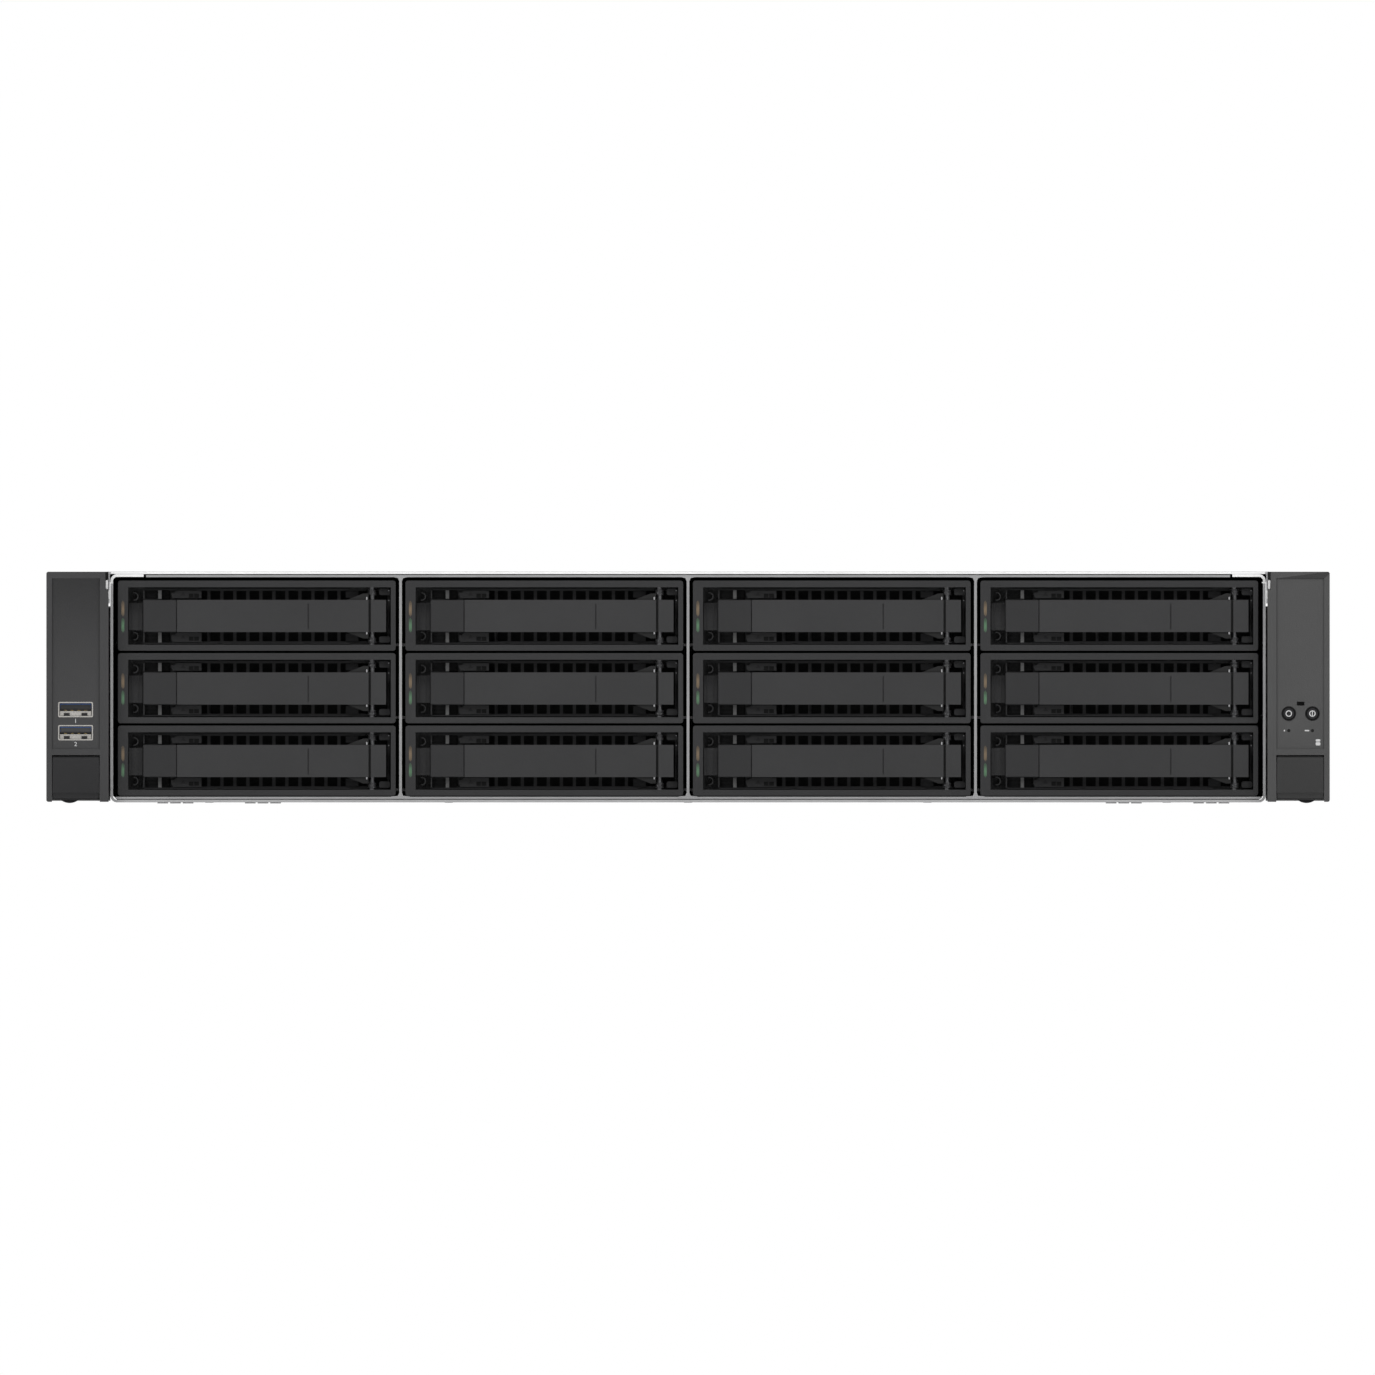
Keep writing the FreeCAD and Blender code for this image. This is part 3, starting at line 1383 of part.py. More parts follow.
def riser_cage(index):
    """Bent cage with its row of slot covers in the rear opening."""
    body = new_body("riser")
    left, gauge = riser_left(index), d.sheet_gauge
    right = left + d.riser_width
    low = d.riser_bottom - d.riser_hood_drop
    high = d.riser_bottom + RISER_SLOTS * d.slot_pitch + d.riser_hood_rise
    front = d.rear_y - d.riser_length
    hood = [(left, low), (left + gauge, low), (left + gauge, high - gauge),
            (right - gauge, high - gauge), (right - gauge, low), (right, low),
            (right, high), (left, high)]
    pad(body, outline(body, "XZ", front, hood), d.riser_length)
    inset = d.slot_cover_inset + d.slot_cover_gap
    start = d.riser_bottom + (d.slot_pitch - d.slot_cover_height) / 2
    post = rectangle(left, left + inset + d.riser_post, low, high)
    pad(body, outline(body, "XZ", d.rear_y - gauge, post), gauge)
    cover = rectangle(left + inset, right - inset, start, start + d.slot_cover_height)
    plate = pad(body, outline(body, "XZ", d.rear_y - gauge, cover), gauge * 1.8)
    repeat(body, plate, "Z", d.slot_pitch, RISER_SLOTS)
    return body


def make_rear_io():
    """Two riser cages above the row of rear ports."""
    ports = [network_jacks(),
             rear_port(d.video_start, d.video_width, d.video_height, d.video_proud),
             rear_port(d.rear_usb_start, d.usb_width, d.rear_usb_height, d.rear_usb_proud)]
    keep("rear_io", group("rear_io_group", riser_cage(0), riser_cage(1), *ports))


# -------------------------------------------------------- power supplies

def supply_case():
    """Case of one power supply with its inlet and its pull handle."""
    body = new_body("supply")
    case = rectangle(0, d.supply_width, 0, d.supply_height)
    pad(body, outline(body, "XZ", 0, case), d.supply_length)
    low = (d.supply_height - d.inlet_height) / 2
    inlet = rectangle(d.inlet_inset, d.inlet_inset + d.inlet_width, low, low + d.inlet_height)
    pocket(body, outline(body, "XZ", d.supply_length, inlet), d.inlet_depth, -1)
    start, gauge = d.handle_start, d.handle_gauge
    end = start + d.handle_span
    root, tip = d.supply_length, d.supply_length + d.handle_reach
    loop = [(start, root), (start + gauge, root), (start + gauge, tip - gauge * 2),
            (start + gauge * 2, tip - gauge), (end - gauge * 2, tip - gauge),
            (end - gauge, tip - gauge * 2), (end - gauge, root), (end, root),
            (end, tip - gauge * 1.5), (end - gauge * 1.5, tip), (start + gauge * 1.5, tip),
            (start, tip - gauge * 1.5)]
    handle_low = (d.supply_height - d.handle_height) / 2
    pad(body, outline(body, "XY", handle_low, loop), d.handle_height)
    return body


def inlet_pins():
    """Three flat contacts in the inlet."""
    middle = d.inlet_inset + d.inlet_width / 2
    back = d.supply_length - d.inlet_depth
    level = d.supply_height / 2
    half = d.inlet_pin_gauge / 2
    pins = []
    for across, rise in ((-1, -0.4), (0, 0.4), (1, -0.4)):
        x = middle + across * d.inlet_pin_spread
        z = level + rise * d.inlet_pin_width
        pins.append(box(x - half, x + half, back, back + d.inlet_pin_length,
                        z - d.inlet_pin_width / 2, z + d.inlet_pin_width / 2))
    return pins


def supply_latch():
    """Thumb lever at the edge of a power supply, on an upright round root."""
    body = new_body("supply_lever")
    gauge, reach, height = d.supply_latch_gauge, d.supply_latch_reach, d.supply_latch_height
    root = circles(body, "XY", 0, (gauge / 2, gauge / 2, gauge / 2))
    pad(body, root, height)
    plate = [(0, gauge / 2), (gauge, gauge / 2), (gauge, reach + gauge), (-gauge, reach + gauge),
             (-gauge, reach), (0, reach)]
    pad(body, outline(body, "XY", 0, plate), height)
    return body


def make_supplies():
    """Two hot-swap supplies, one above the other, each with its latch."""
    case, pins, latch = supply_case(), inlet_pins(), supply_latch()
    x = d.supply_left
    latch_x = x + d.supply_width - d.supply_latch_inset - d.supply_latch_gauge
    low = (d.supply_height - d.supply_latch_height) / 2
    for name, z in (("lower", d.supply_bottom), ("upper", d.upper_bottom)):
        keep(f"power_supply_{name}", group("supply_unit", case, *pins), x, d.supply_front, z)
        keep(f"psu_latch_{name}", group("supply_catch", latch), latch_x,
             d.chassis_length + 0.3, z + low)


# ------------------------------------------------------------- assembly

def check_document():
    """Stop on any failed object or unsound sub-part."""
    doc.recompute()
    for item in doc.Objects:
        bad = [state for state in item.State if state in ("Invalid", "Error")]
        if bad:
            raise RuntimeError(f"{item.Name} ({item.Label}) failed: {bad}")
    for label, item in nodes.items():
        if item.Shape.isNull() or not item.Shape.isValid():
            raise RuntimeError(f"{label} has no sound shape")


def write_parts():
    os.makedirs("parts", exist_ok=True)
    for label, item in nodes.items():
        item.Shape.exportStep(f"parts/{label}.step")


make_chassis_base()
make_drive_cage()
make_front_cover()
make_top_cover()
make_cover_latch()
make_left_ear()
make_right_ear()
for button, middle in zip(("power_button", "id_button"), button_places()):
    make_button(button, middle)
for prefix, hand in (("left", -1), ("right", 1)):
    make_flap(f"{prefix}_ear_flap", hand)
    make_captive_screw(f"{prefix}_captive_screw", hand)
make_carriers()
make_backplane()
make_fans()
heatsink_master = heatsink()
make_main_board()
make_rear_io()
make_supplies()
check_document()
write_parts()
print(len(nodes), "sub-parts written")
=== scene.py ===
"""Looks of a rack server two units high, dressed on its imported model."""

import json
import math

import bmesh
import bpy
from mathutils import Matrix, Vector

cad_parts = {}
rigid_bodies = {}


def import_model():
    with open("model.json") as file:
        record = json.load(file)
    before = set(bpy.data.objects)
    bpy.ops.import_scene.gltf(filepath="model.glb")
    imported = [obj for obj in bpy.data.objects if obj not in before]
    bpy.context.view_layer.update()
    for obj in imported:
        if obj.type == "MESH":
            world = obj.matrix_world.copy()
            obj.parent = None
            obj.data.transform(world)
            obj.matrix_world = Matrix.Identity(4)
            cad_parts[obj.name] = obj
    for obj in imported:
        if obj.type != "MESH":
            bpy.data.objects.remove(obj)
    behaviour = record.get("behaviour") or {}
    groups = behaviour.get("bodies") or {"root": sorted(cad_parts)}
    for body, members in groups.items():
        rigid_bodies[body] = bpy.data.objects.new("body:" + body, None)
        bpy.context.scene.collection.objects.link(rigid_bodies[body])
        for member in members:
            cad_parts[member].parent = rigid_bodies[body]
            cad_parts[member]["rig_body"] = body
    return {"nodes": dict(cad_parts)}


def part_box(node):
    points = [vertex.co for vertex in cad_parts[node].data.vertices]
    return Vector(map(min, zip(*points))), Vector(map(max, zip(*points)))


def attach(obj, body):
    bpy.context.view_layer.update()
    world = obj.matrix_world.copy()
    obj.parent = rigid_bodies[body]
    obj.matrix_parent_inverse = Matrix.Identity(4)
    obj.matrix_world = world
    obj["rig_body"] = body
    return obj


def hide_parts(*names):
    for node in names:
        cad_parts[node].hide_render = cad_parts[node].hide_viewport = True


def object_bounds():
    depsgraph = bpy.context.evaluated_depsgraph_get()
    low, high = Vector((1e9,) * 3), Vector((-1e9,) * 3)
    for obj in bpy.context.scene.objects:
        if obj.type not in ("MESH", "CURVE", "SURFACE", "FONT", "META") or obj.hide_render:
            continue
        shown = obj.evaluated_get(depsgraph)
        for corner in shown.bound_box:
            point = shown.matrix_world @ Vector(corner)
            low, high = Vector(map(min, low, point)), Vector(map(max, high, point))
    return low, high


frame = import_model()
CAD_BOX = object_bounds()
NODES = frame["nodes"]

bl_info = {
    "name": "Rack Server Dresser",
    "version": (1, 0, 0),
    "blender": (4, 5, 0),
    "location": "3D View > Sidebar > Server",
    "description": "Dresses the packed model of a rack server with finishes and fine parts",
    "category": "Object",
}

MM = 0.001
BAYS = sorted(name[len("carrier_"):] for name in NODES if name.startswith("carrier_"))
FIRST_BAY = BAYS[0]
SIDES = {"left": -1, "right": 1}


def node_box(node):
    """Lowest and highest corner of a CAD node, in millimetres."""
    low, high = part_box(node)
    return low / MM, high / MM


CARRIER_LOW, CARRIER_HIGH = node_box(f"carrier_{FIRST_BAY}")
LEVER_FRONT = node_box(f"lever_{FIRST_BAY}")[0].y
FRONT_Y = CARRIER_LOW.y
BEZEL_WIDTH = CARRIER_HIGH.x - CARRIER_LOW.x
BEZEL_HEIGHT = CARRIER_HIGH.z - CARRIER_LOW.z


# ------------------------------------------------------------ properties

def millimetres(name, description, default):
    return bpy.props.FloatProperty(name=name, description=description, default=default * MM,
                                   min=0, unit="LENGTH", subtype="DISTANCE")


def colour(name, description, *default):
    return bpy.props.FloatVectorProperty(name=name, description=description, default=default,
                                         size=3, min=0, max=1, subtype="COLOR")


class ServerSizes(bpy.types.PropertyGroup):
    """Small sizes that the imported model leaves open."""
    plastic_edge: millimetres("Plastic edge", "Width of the softened edges of moulded parts", 0.25)
    sheet_edge: millimetres("Sheet edge", "Width of the broken edges of sheet metal", 0.12)
    spring_wire: millimetres("Spring wire", "Diameter of the wire of the lever springs", 0.45)
    vent_pitch: millimetres("Vent pitch", "Distance between the holes of a grille", 3.0)
    vent_web: millimetres("Vent web", "Metal left between two holes of a grille", 0.7)
    rivet_head: millimetres("Rivet head", "Diameter of the rivet heads", 4.0)
    screw_head: millimetres("Screw head", "Diameter of the small screw heads", 5.6)


class ServerColours(bpy.types.PropertyGroup):
    """Colours of the finishes."""
    bezel: colour("Bezel", "Carrier bezels", 0.027, 0.027, 0.028)
    lever: colour("Lever", "Carrier levers", 0.033, 0.033, 0.034)
    button: colour("Button", "Release buttons", 0.024, 0.024, 0.025)
    # The two ears are one plastic: the right ear's housing and sunk panel are lighter than the
    # left's only as painted light and shade.
    left_ear: colour("Left ear", "Housing of the left ear", 0.019, 0.019, 0.020)
    right_ear: colour("Right ear", "Housing of the right ear", 0.033, 0.033, 0.033)
    left_panel: colour("Left panel", "Sunk face of the left ear", 0.046, 0.046, 0.047)
    right_panel: colour("Right panel", "Sunk face of the right ear", 0.066, 0.066, 0.066)
    steel: colour("Steel", "Zinc plated sheet", 0.43, 0.43, 0.435)
    cover: colour("Cover", "Top sheets", 0.44, 0.44, 0.45)
    amber: colour("Amber", "Amber light pipe", 0.085, 0.060, 0.035)
    green: colour("Green", "Green light pipe", 0.038, 0.085, 0.045)
    tongue: colour("Tongue", "Tongue of a serial port", 0.030, 0.085, 0.26)
    mark: colour("Mark", "Printed marks", 0.55, 0.55, 0.55)


def sizes():
    return bpy.context.scene.server_sizes


def colours():
    return bpy.context.scene.server_colours


# ---------------------------------------------------------- node graphs

class Wire:
    """A socket that can be used in sums."""

    def __init__(self, graph, socket):
        self.graph = graph
        self.socket = socket

    def math(self, operation, *values):
        return self.graph.wire("ShaderNodeMath", {"operation": operation}, dict(enumerate(values)))

    def __add__(self, other):
        return self.math("ADD", self, other)

    def __radd__(self, other):
        return self.math("ADD", other, self)

    def __sub__(self, other):
        return self.math("SUBTRACT", self, other)

    def __rsub__(self, other):
        return self.math("SUBTRACT", other, self)

    def __mul__(self, other):
        return self.math("MULTIPLY", self, other)

    def __rmul__(self, other):
        return self.math("MULTIPLY", other, self)

    def __truediv__(self, other):
        return self.math("DIVIDE", self, other)

    def __rtruediv__(self, other):
        return self.math("DIVIDE", other, self)

    def above(self, edge):
        return self.math("GREATER_THAN", self, edge)


class Graph:
    """Makes and joins the nodes of one tree."""

    def __init__(self, tree):
        self.tree = tree

    def node(self, kind, settings=None, inputs=None):
        """One node: its settings first, then the values or links of its sockets."""
        node = self.tree.nodes.new(kind)
        for name, value in (settings or {}).items():
            setattr(node, name, value)
        for key, value in (inputs or {}).items():
            if isinstance(value, Wire):
                self.tree.links.new(value.socket, node.inputs[key])
            else:
                node.inputs[key].default_value = value
        return node

    def wire(self, kind, settings=None, inputs=None, output=0):
        return Wire(self, self.node(kind, settings, inputs).outputs[output])

    def any_ray(self, *kinds):
        """1 for a ray of any of these kinds, else 0."""
        outputs = self.node("ShaderNodeLightPath").outputs
        seen, *others = (Wire(self, outputs[f"Is {kind} Ray"]) for kind in kinds)
        for other in others:
            seen = seen.math("MAXIMUM", seen, other)
        return seen


# ------------------------------------------------------------ materials

def grey(level):
    return (level, level, level, 1)


class Finish(Graph):
    """A material with one Principled shader, fed by patterns in object space."""

    def __init__(self, name, **constants):
        self.material = bpy.data.materials.new(name)
        self.material.use_nodes = True
        super().__init__(self.material.node_tree)
        self.shader = self.tree.nodes["Principled BSDF"]
        self.place = self.wire("ShaderNodeTexCoord", output="Object")
        for socket, value in constants.items():
            self.shader.inputs[socket.replace("_", " ")].default_value = value

    def noise(self, scale, detail, stretch=None):
        """Cloudy values from 0 to 1; stretch scales the pattern along each axis."""
        place = self.place
        if stretch:
            place = self.wire("ShaderNodeMapping", None, {"Vector": place, "Scale": stretch})
        return self.wire("ShaderNodeTexNoise", None,
                         {"Vector": place, "Scale": scale, "Detail": detail})

    def blend(self, factor, low, high):
        """A colour between two others."""
        return self.wire("ShaderNodeMix", {"data_type": "RGBA"},
                         {"Factor": factor, 6: (*low, 1), 7: (*high, 1)}, output=2)

    def feed(self, socket, wire):
        self.tree.links.new(wire.socket, self.shader.inputs[socket])

    def lift_white(self, share):
        """Let the camera, and mirrors, see the surface nearer to white."""
        seen = self.any_ray("Camera", "Glossy", "Transmission")
        white = self.wire("ShaderNodeEmission", None, {"Color": grey(1), "Strength": 1.0})
        mixed = self.wire("ShaderNodeMixShader", None,
                          {"Fac": seen * share, 1: Wire(self, self.shader.outputs[0]), 2: white})
        output = self.tree.nodes["Material Output"]
        self.tree.links.new(mixed.socket, output.inputs["Surface"])

    def bump(self, height, strength, distance):
        normal = self.wire("ShaderNodeBump", None,
                           {"Height": height, "Strength": strength, "Distance": distance})
        self.feed("Normal", normal)


def shade(rgb, factor):
    return tuple(min(1.0, channel * factor) for channel in rgb)


def moulded_plastic(name, rgb, roughness=0.55, grain=0.6):
    """Fine-grained plastic: tiny pits, and a slight unevenness of colour and gloss."""
    finish = Finish(name, Specular_IOR_Level=0.25)
    cloud = finish.noise(scale=38, detail=3)
    pits = finish.noise(scale=2600, detail=2)
    finish.feed("Base Color", finish.blend(cloud, shade(rgb, 0.88), shade(rgb, 1.12)))
    finish.feed("Roughness", cloud * 0.14 + pits * 0.08 + (roughness - 0.11))
    finish.bump(pits, strength=grain, distance=0.04 * MM)
    return finish.material


def plated_sheet(name, rgb, roughness=0.5, metallic=0.5, grain=(1, 60, 1)):
    """Zinc plated sheet: rolling streaks, crystals, cloudy gloss and small scuffs."""
    finish = Finish(name, Specular_IOR_Level=0.5)
    streaks = finish.noise(scale=60, detail=3, stretch=grain)
    cloud = finish.noise(scale=11, detail=4)
    scuffs = finish.noise(scale=420, detail=1).above(0.70)
    crystals = finish.wire("ShaderNodeTexVoronoi", {"feature": "F1"},
                           {"Vector": finish.place, "Scale": 90.0}, output=1)
    flakes = finish.wire("ShaderNodeSeparateColor", None, {"Color": crystals})
    tone = streaks * 0.4 + cloud * 0.4 + flakes * 0.2
    finish.feed("Base Color", finish.blend(tone, shade(rgb, 0.84), shade(rgb, 1.14)))
    finish.feed("Roughness", streaks * 0.16 + cloud * 0.12 + scuffs * 0.08 + (roughness - 0.14))
    finish.feed("Metallic", metallic - scuffs * 0.1)
    finish.bump(streaks + scuffs * 0.3, strength=0.16, distance=0.05 * MM)
    return finish.material


def machined_metal(name, rgb, roughness=0.3, metallic=0.95, scale=900):
    """Small turned or drawn parts: fine tool marks and a little tarnish."""
    finish = Finish(name, Specular_IOR_Level=0.5)
    marks = finish.noise(scale, detail=2, stretch=(1, 1, 5))
    tarnish = finish.noise(scale=140, detail=3)
    finish.feed("Base Color", finish.blend(tarnish, shade(rgb, 0.8), shade(rgb, 1.12)))
    finish.feed("Roughness", marks * 0.2 + (roughness - 0.1))
    finish.feed("Metallic", metallic - tarnish * 0.1)
    finish.bump(marks, strength=0.2, distance=0.03 * MM)
    return finish.material


def light_pipe(name, rgb):
    """Unlit clear plastic over a tinted lamp, painted brighter along its middle as a highlight."""
    finish = Finish(name, Specular_IOR_Level=0.5, Coat_Weight=0.25, Coat_Roughness=0.15)
    painted_sheen = finish.wire("ShaderNodeAttribute", {"attribute_name": "painted_sheen"}, output="Fac")
    speck = finish.noise(scale=900, detail=2)
    tone = painted_sheen * 0.85 + speck * 0.15
    # The colour is lifted along the middle as a painted highlight.
    finish.feed("Base Color", finish.blend(tone, shade(rgb, 0.45), shade(rgb, 1.9)))
    finish.feed("Roughness", 0.45 - painted_sheen * 0.15)
    finish.bump(speck, strength=0.12, distance=0.04 * MM)
    return finish.material


def circuit_board(name, rgb):
    """Solder mask over copper traces, with bare pads."""
    finish = Finish(name, Specular_IOR_Level=0.5)
    traces = finish.wire("ShaderNodeTexBrick", {"offset": 0.5},
                         {"Vector": finish.place, "Scale": 90.0, "Mortar Size": 0.015,
                          "Color1": grey(0.35), "Color2": grey(0.65), "Mortar": grey(1)})
    cloud = finish.noise(scale=30, detail=3)
    finish.feed("Base Color", finish.blend(traces * 0.5 + cloud * 0.5, shade(rgb, 0.6),
                                           shade(rgb, 1.5)))
    finish.feed("Roughness", cloud * 0.2 + 0.3)
    finish.bump(traces, strength=0.2, distance=0.06 * MM)
    return finish.material


def printed_mark(name, rgb):
    """Screen printed ink, a little uneven."""
    finish = Finish(name, Specular_IOR_Level=0.3)
    ink = finish.noise(scale=1500, detail=3)
    finish.feed("Base Color", finish.blend(ink, shade(rgb, 0.85), shade(rgb, 1.1)))
    finish.feed("Roughness", ink * 0.2 + 0.5)
    finish.bump(ink, strength=0.15, distance=0.02 * MM)
    return finish.material


RECIPES = {
    "bezel": lambda tint: moulded_plastic("bezel_plastic", tint.bezel),
    "lever": lambda tint: moulded_plastic("lever_plastic", tint.lever, 0.5, grain=0.45),
    "button": lambda tint: moulded_plastic("button_plastic", tint.button, 0.5, grain=0.45),
    # The lever's plastic darkened as painted shade, for its arms, the gap at its tail and its back
    # faces.
    "arm": lambda tint: moulded_plastic("arm_plastic", (0.011, 0.011, 0.011)),
    "trim": lambda tint: moulded_plastic("trim_plastic", (0.018, 0.018, 0.019), 0.6),
    "strip": lambda tint: moulded_plastic("guide_plastic", (0.13, 0.13, 0.13), 0.5),
    # Near-black plastic for painted shade in hollows, gaps, ledges and behind grilles.
    "pit": lambda tint: moulded_plastic("shadow_plastic", (0.006, 0.006, 0.006), 0.8, grain=0.3),
    # Left and right ears differ only as painted light and shade: the right ear is painted lighter.
    "left_ear": lambda tint: moulded_plastic("left_ear_plastic", tint.left_ear, 0.6, grain=0.8),
    "right_ear": lambda tint: moulded_plastic("right_ear_plastic", tint.right_ear, 0.6,
                                              grain=0.8),
    "left_panel": lambda tint: moulded_plastic("left_panel_plastic", tint.left_panel, 0.65,
                                               grain=0.9),
    "right_panel": lambda tint: moulded_plastic("right_panel_plastic", tint.right_panel, 0.65,
                                                grain=0.9),
    # Inner rims of the ears: painted shade between the sunk panel and the wall, painted lighter on
    # the right ear.
    "left_rim": lambda tint: moulded_plastic("left_rim_plastic", (0.008, 0.008, 0.008), 0.6),
    "right_rim": lambda tint: moulded_plastic("right_rim_plastic", (0.014, 0.014, 0.014), 0.6),
    "cap": lambda tint: moulded_plastic("cap_plastic", (0.016, 0.016, 0.017), 0.35, grain=0.2),
    "catch": lambda tint: moulded_plastic("catch_plastic", (0.10, 0.11, 0.12), 0.45, grain=0.4),
    "fan": lambda tint: moulded_plastic("fan_plastic", (0.014, 0.014, 0.015), 0.4, grain=0.3),
    "tongue": lambda tint: moulded_plastic("tongue_plastic", tint.tongue, 0.35, grain=0.2),
    "steel": lambda tint: plated_sheet("zinc_sheet", tint.steel),
    "cage": lambda tint: plated_sheet("cage_sheet", shade(tint.steel, 0.8), 0.45),
    "supply": lambda tint: plated_sheet("supply_sheet", shade(tint.steel, 0.9), 0.38),
    "cover": lambda tint: plated_sheet("cover_sheet", tint.cover, 0.56, metallic=0.15,
                                       grain=(60, 1, 1)),
    # A near-white sheet painted on as a highlight, for front edges, flanges and the ear tabs.
    "painted_highlight": lambda tint: plated_sheet("sheet_edge", (0.93, 0.93, 0.93), 0.4,
                                             metallic=0.2),
    "casting": lambda tint: plated_sheet("drive_casting", (0.10, 0.10, 0.105)),
    "lid": lambda tint: machined_metal("drive_lid", (0.40, 0.41, 0.42), 0.55, metallic=0.3,
                                       scale=300),
    "pin": lambda tint: machined_metal("pin_steel", (0.50, 0.50, 0.51)),
    # Pin steel darkened as painted shade, for the hinge pins, springs and stop pins deep in the
    # recess.
    "dull_pin": lambda tint: machined_metal("dull_pin", (0.14, 0.14, 0.145), 0.35, metallic=0.8),
    "dark_steel": lambda tint: machined_metal("black_zinc", (0.045, 0.045, 0.048), 0.4,
                                              metallic=0.8),
    "nickel": lambda tint: machined_metal("nickel_shell", (0.60, 0.58, 0.55), 0.28),
    "gold": lambda tint: machined_metal("gold_contact", (0.70, 0.50, 0.18), 0.25),
    "board": lambda tint: circuit_board("board_mask", (0.012, 0.055, 0.028)),
    "amber": lambda tint: light_pipe("amber_pipe", tint.amber),
    "green": lambda tint: light_pipe("green_pipe", tint.green),
    "mark": lambda tint: printed_mark("white_ink", tint.mark),
}
FINISHES = {}


def finish_named(name):
    """Make each finish once, when the first piece asks for it."""
    if name not in FINISHES:
        FINISHES[name] = RECIPES[name](colours())
    return FINISHES[name]


# -------------------------------------------------------------- meshes

def box_outline(left, right, low, high):
    return [(left, low), (right, low), (right, high), (left, high)]


def round_outline(left, right, low, high, radius, steps=4):
    """A rectangle with round corners, counter-clockwise."""
    points = []
    corners = ((right - radius, low + radius, -90), (right - radius, high - radius, 0),
               (left + radius, high - radius, 90), (left + radius, low + radius, 180))
    for x, z, start in corners:
        for step in range(steps + 1):
            angle = math.radians(start + 90 * step / steps)
            points.append((x + radius * math.cos(angle), z + radius * math.sin(angle)))
    return points


def disc_outline(x, z, radius, count=24):
    turns = [2 * math.pi * step / count for step in range(count)]
    return [(x + radius * math.cos(turn), z + radius * math.sin(turn)) for turn in turns]


def arc_outline(x, z, inner, outer, start, end, count=16):
    """A flat bow between two radii, from one angle to another."""
    turns = [math.radians(start + (end - start) * step / count) for step in range(count + 1)]
    points = [(x + outer * math.cos(turn), z + outer * math.sin(turn)) for turn in turns]
    points += [(x + inner * math.cos(turn), z + inner * math.sin(turn)) for turn in turns[::-1]]
    return points


class Shape:
    """A mesh in the making, in millimetres, and the finishes that its faces may take."""
    SHARP_ABOVE = math.radians(14)
    CORNER_ABOVE = math.radians(35)

    def __init__(self, *finishes, bm=None):
        self.finishes = finishes
        self.bm = bmesh.new() if bm is None else bm

    def face(self, verts, finish=None):
        """A face in the named finish, or in the first one."""
        face = self.bm.faces.new(verts)
        face.material_index = self.finishes.index(finish) if finish else 0

    def bridge(self, here, there, finish=None):
        """Faces from one closed row of points to the next."""
        for step, point in enumerate(here):
            after = (step + 1) % len(here)
            self.face((point, here[after], there[after], there[step]), finish)

    def prism(self, outline, front, back, finish=None):
        """A closed outline in x and z, given depth from front to back."""
        near, far = ([self.bm.verts.new((x, y, z)) for x, z in outline] for y in (front, back))
        self.face(near, finish)
        self.face(far[::-1], finish)
        self.bridge(far, near, finish)

    def tube(self, outer, inner, front, back, finish=None):
        """The wall between two outlines of as many points."""
        rows = [[self.bm.verts.new((x, y, z)) for x, z in outline]
                for outline, y in ((outer, front), (inner, front), (inner, back), (outer, back))]
        for here, there in zip(rows, rows[1:] + rows[:1]):
            self.bridge(here, there, finish)

    def paint(self, choose):
        """Give each face the finish that choose(centre, normal) names."""
        for face in self.bm.faces:
            finish = choose(face.calc_center_median(), face.normal)
            face.material_index = self.finishes.index(finish)

    def soften(self, width):
        """Break the sharp outer edges; the width is in metres."""
        edges = [edge for edge in self.bm.edges if edge.is_manifold and edge.is_convex
                 and edge.calc_face_angle(0) > self.CORNER_ABOVE]
        if edges:
            bevel(self.bm, edges, width / MM, segments=1)

    def round_corners(self, radius, wanted):
        """Round the edges that wanted(edge) picks, over three facets."""
        edges = [edge for edge in self.bm.edges if edge.is_manifold and wanted(edge)]
        bevel(self.bm, edges, radius, segments=3)

    def outward(self):
        """Turn every face outwards."""
        bmesh.ops.recalc_face_normals(self.bm, faces=self.bm.faces)

    def mesh(self, name):
        """The finished mesh, in metres."""
        bmesh.ops.scale(self.bm, vec=(MM, MM, MM), verts=self.bm.verts)
        mesh = bpy.data.meshes.new(name)
        self.bm.to_mesh(mesh)
        self.bm.free()
        for finish in self.finishes:
            mesh.materials.append(finish_named(finish))
        mesh.shade_smooth()
        mesh.set_sharp_from_angle(angle=self.SHARP_ABOVE)
        return mesh


def bevel(bm, edges, width, segments):
    bmesh.ops.bevel(bm, geom=edges, offset=width, offset_type="OFFSET", segments=segments,
                    profile=0.5, clamp_overlap=True, affect="EDGES")


def add_piece(name, mesh, body, slot, *stands_for):
    """Link a finished mesh and let it ride on a body."""
    piece = bpy.data.objects.new(name, mesh)
    bpy.context.scene.collection.objects.link(piece)
    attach(piece, body)
    if stands_for:
        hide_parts(*stands_for)
    return piece


def shifted(mesh, name, offset):
    """A copy of a mesh, moved by an offset in millimetres."""
    copy = mesh.copy()
    copy.name = name
    copy.transform(Matrix.Translation(Vector(offset) * MM))
    return copy


WELD = 0.0005
FLAT_BELOW = math.radians(0.5)


def node_mesh(node):
    """A copy of a CAD node's mesh in millimetres, welded, with whole flat faces."""
    bm = bmesh.new()
    bm.from_mesh(NODES[node].data)
    bmesh.ops.scale(bm, vec=(1 / MM, 1 / MM, 1 / MM), verts=bm.verts)
    bmesh.ops.remove_doubles(bm, verts=bm.verts, dist=WELD)
    bmesh.ops.dissolve_limit(bm, angle_limit=FLAT_BELOW, verts=bm.verts, edges=bm.edges)
    return bm


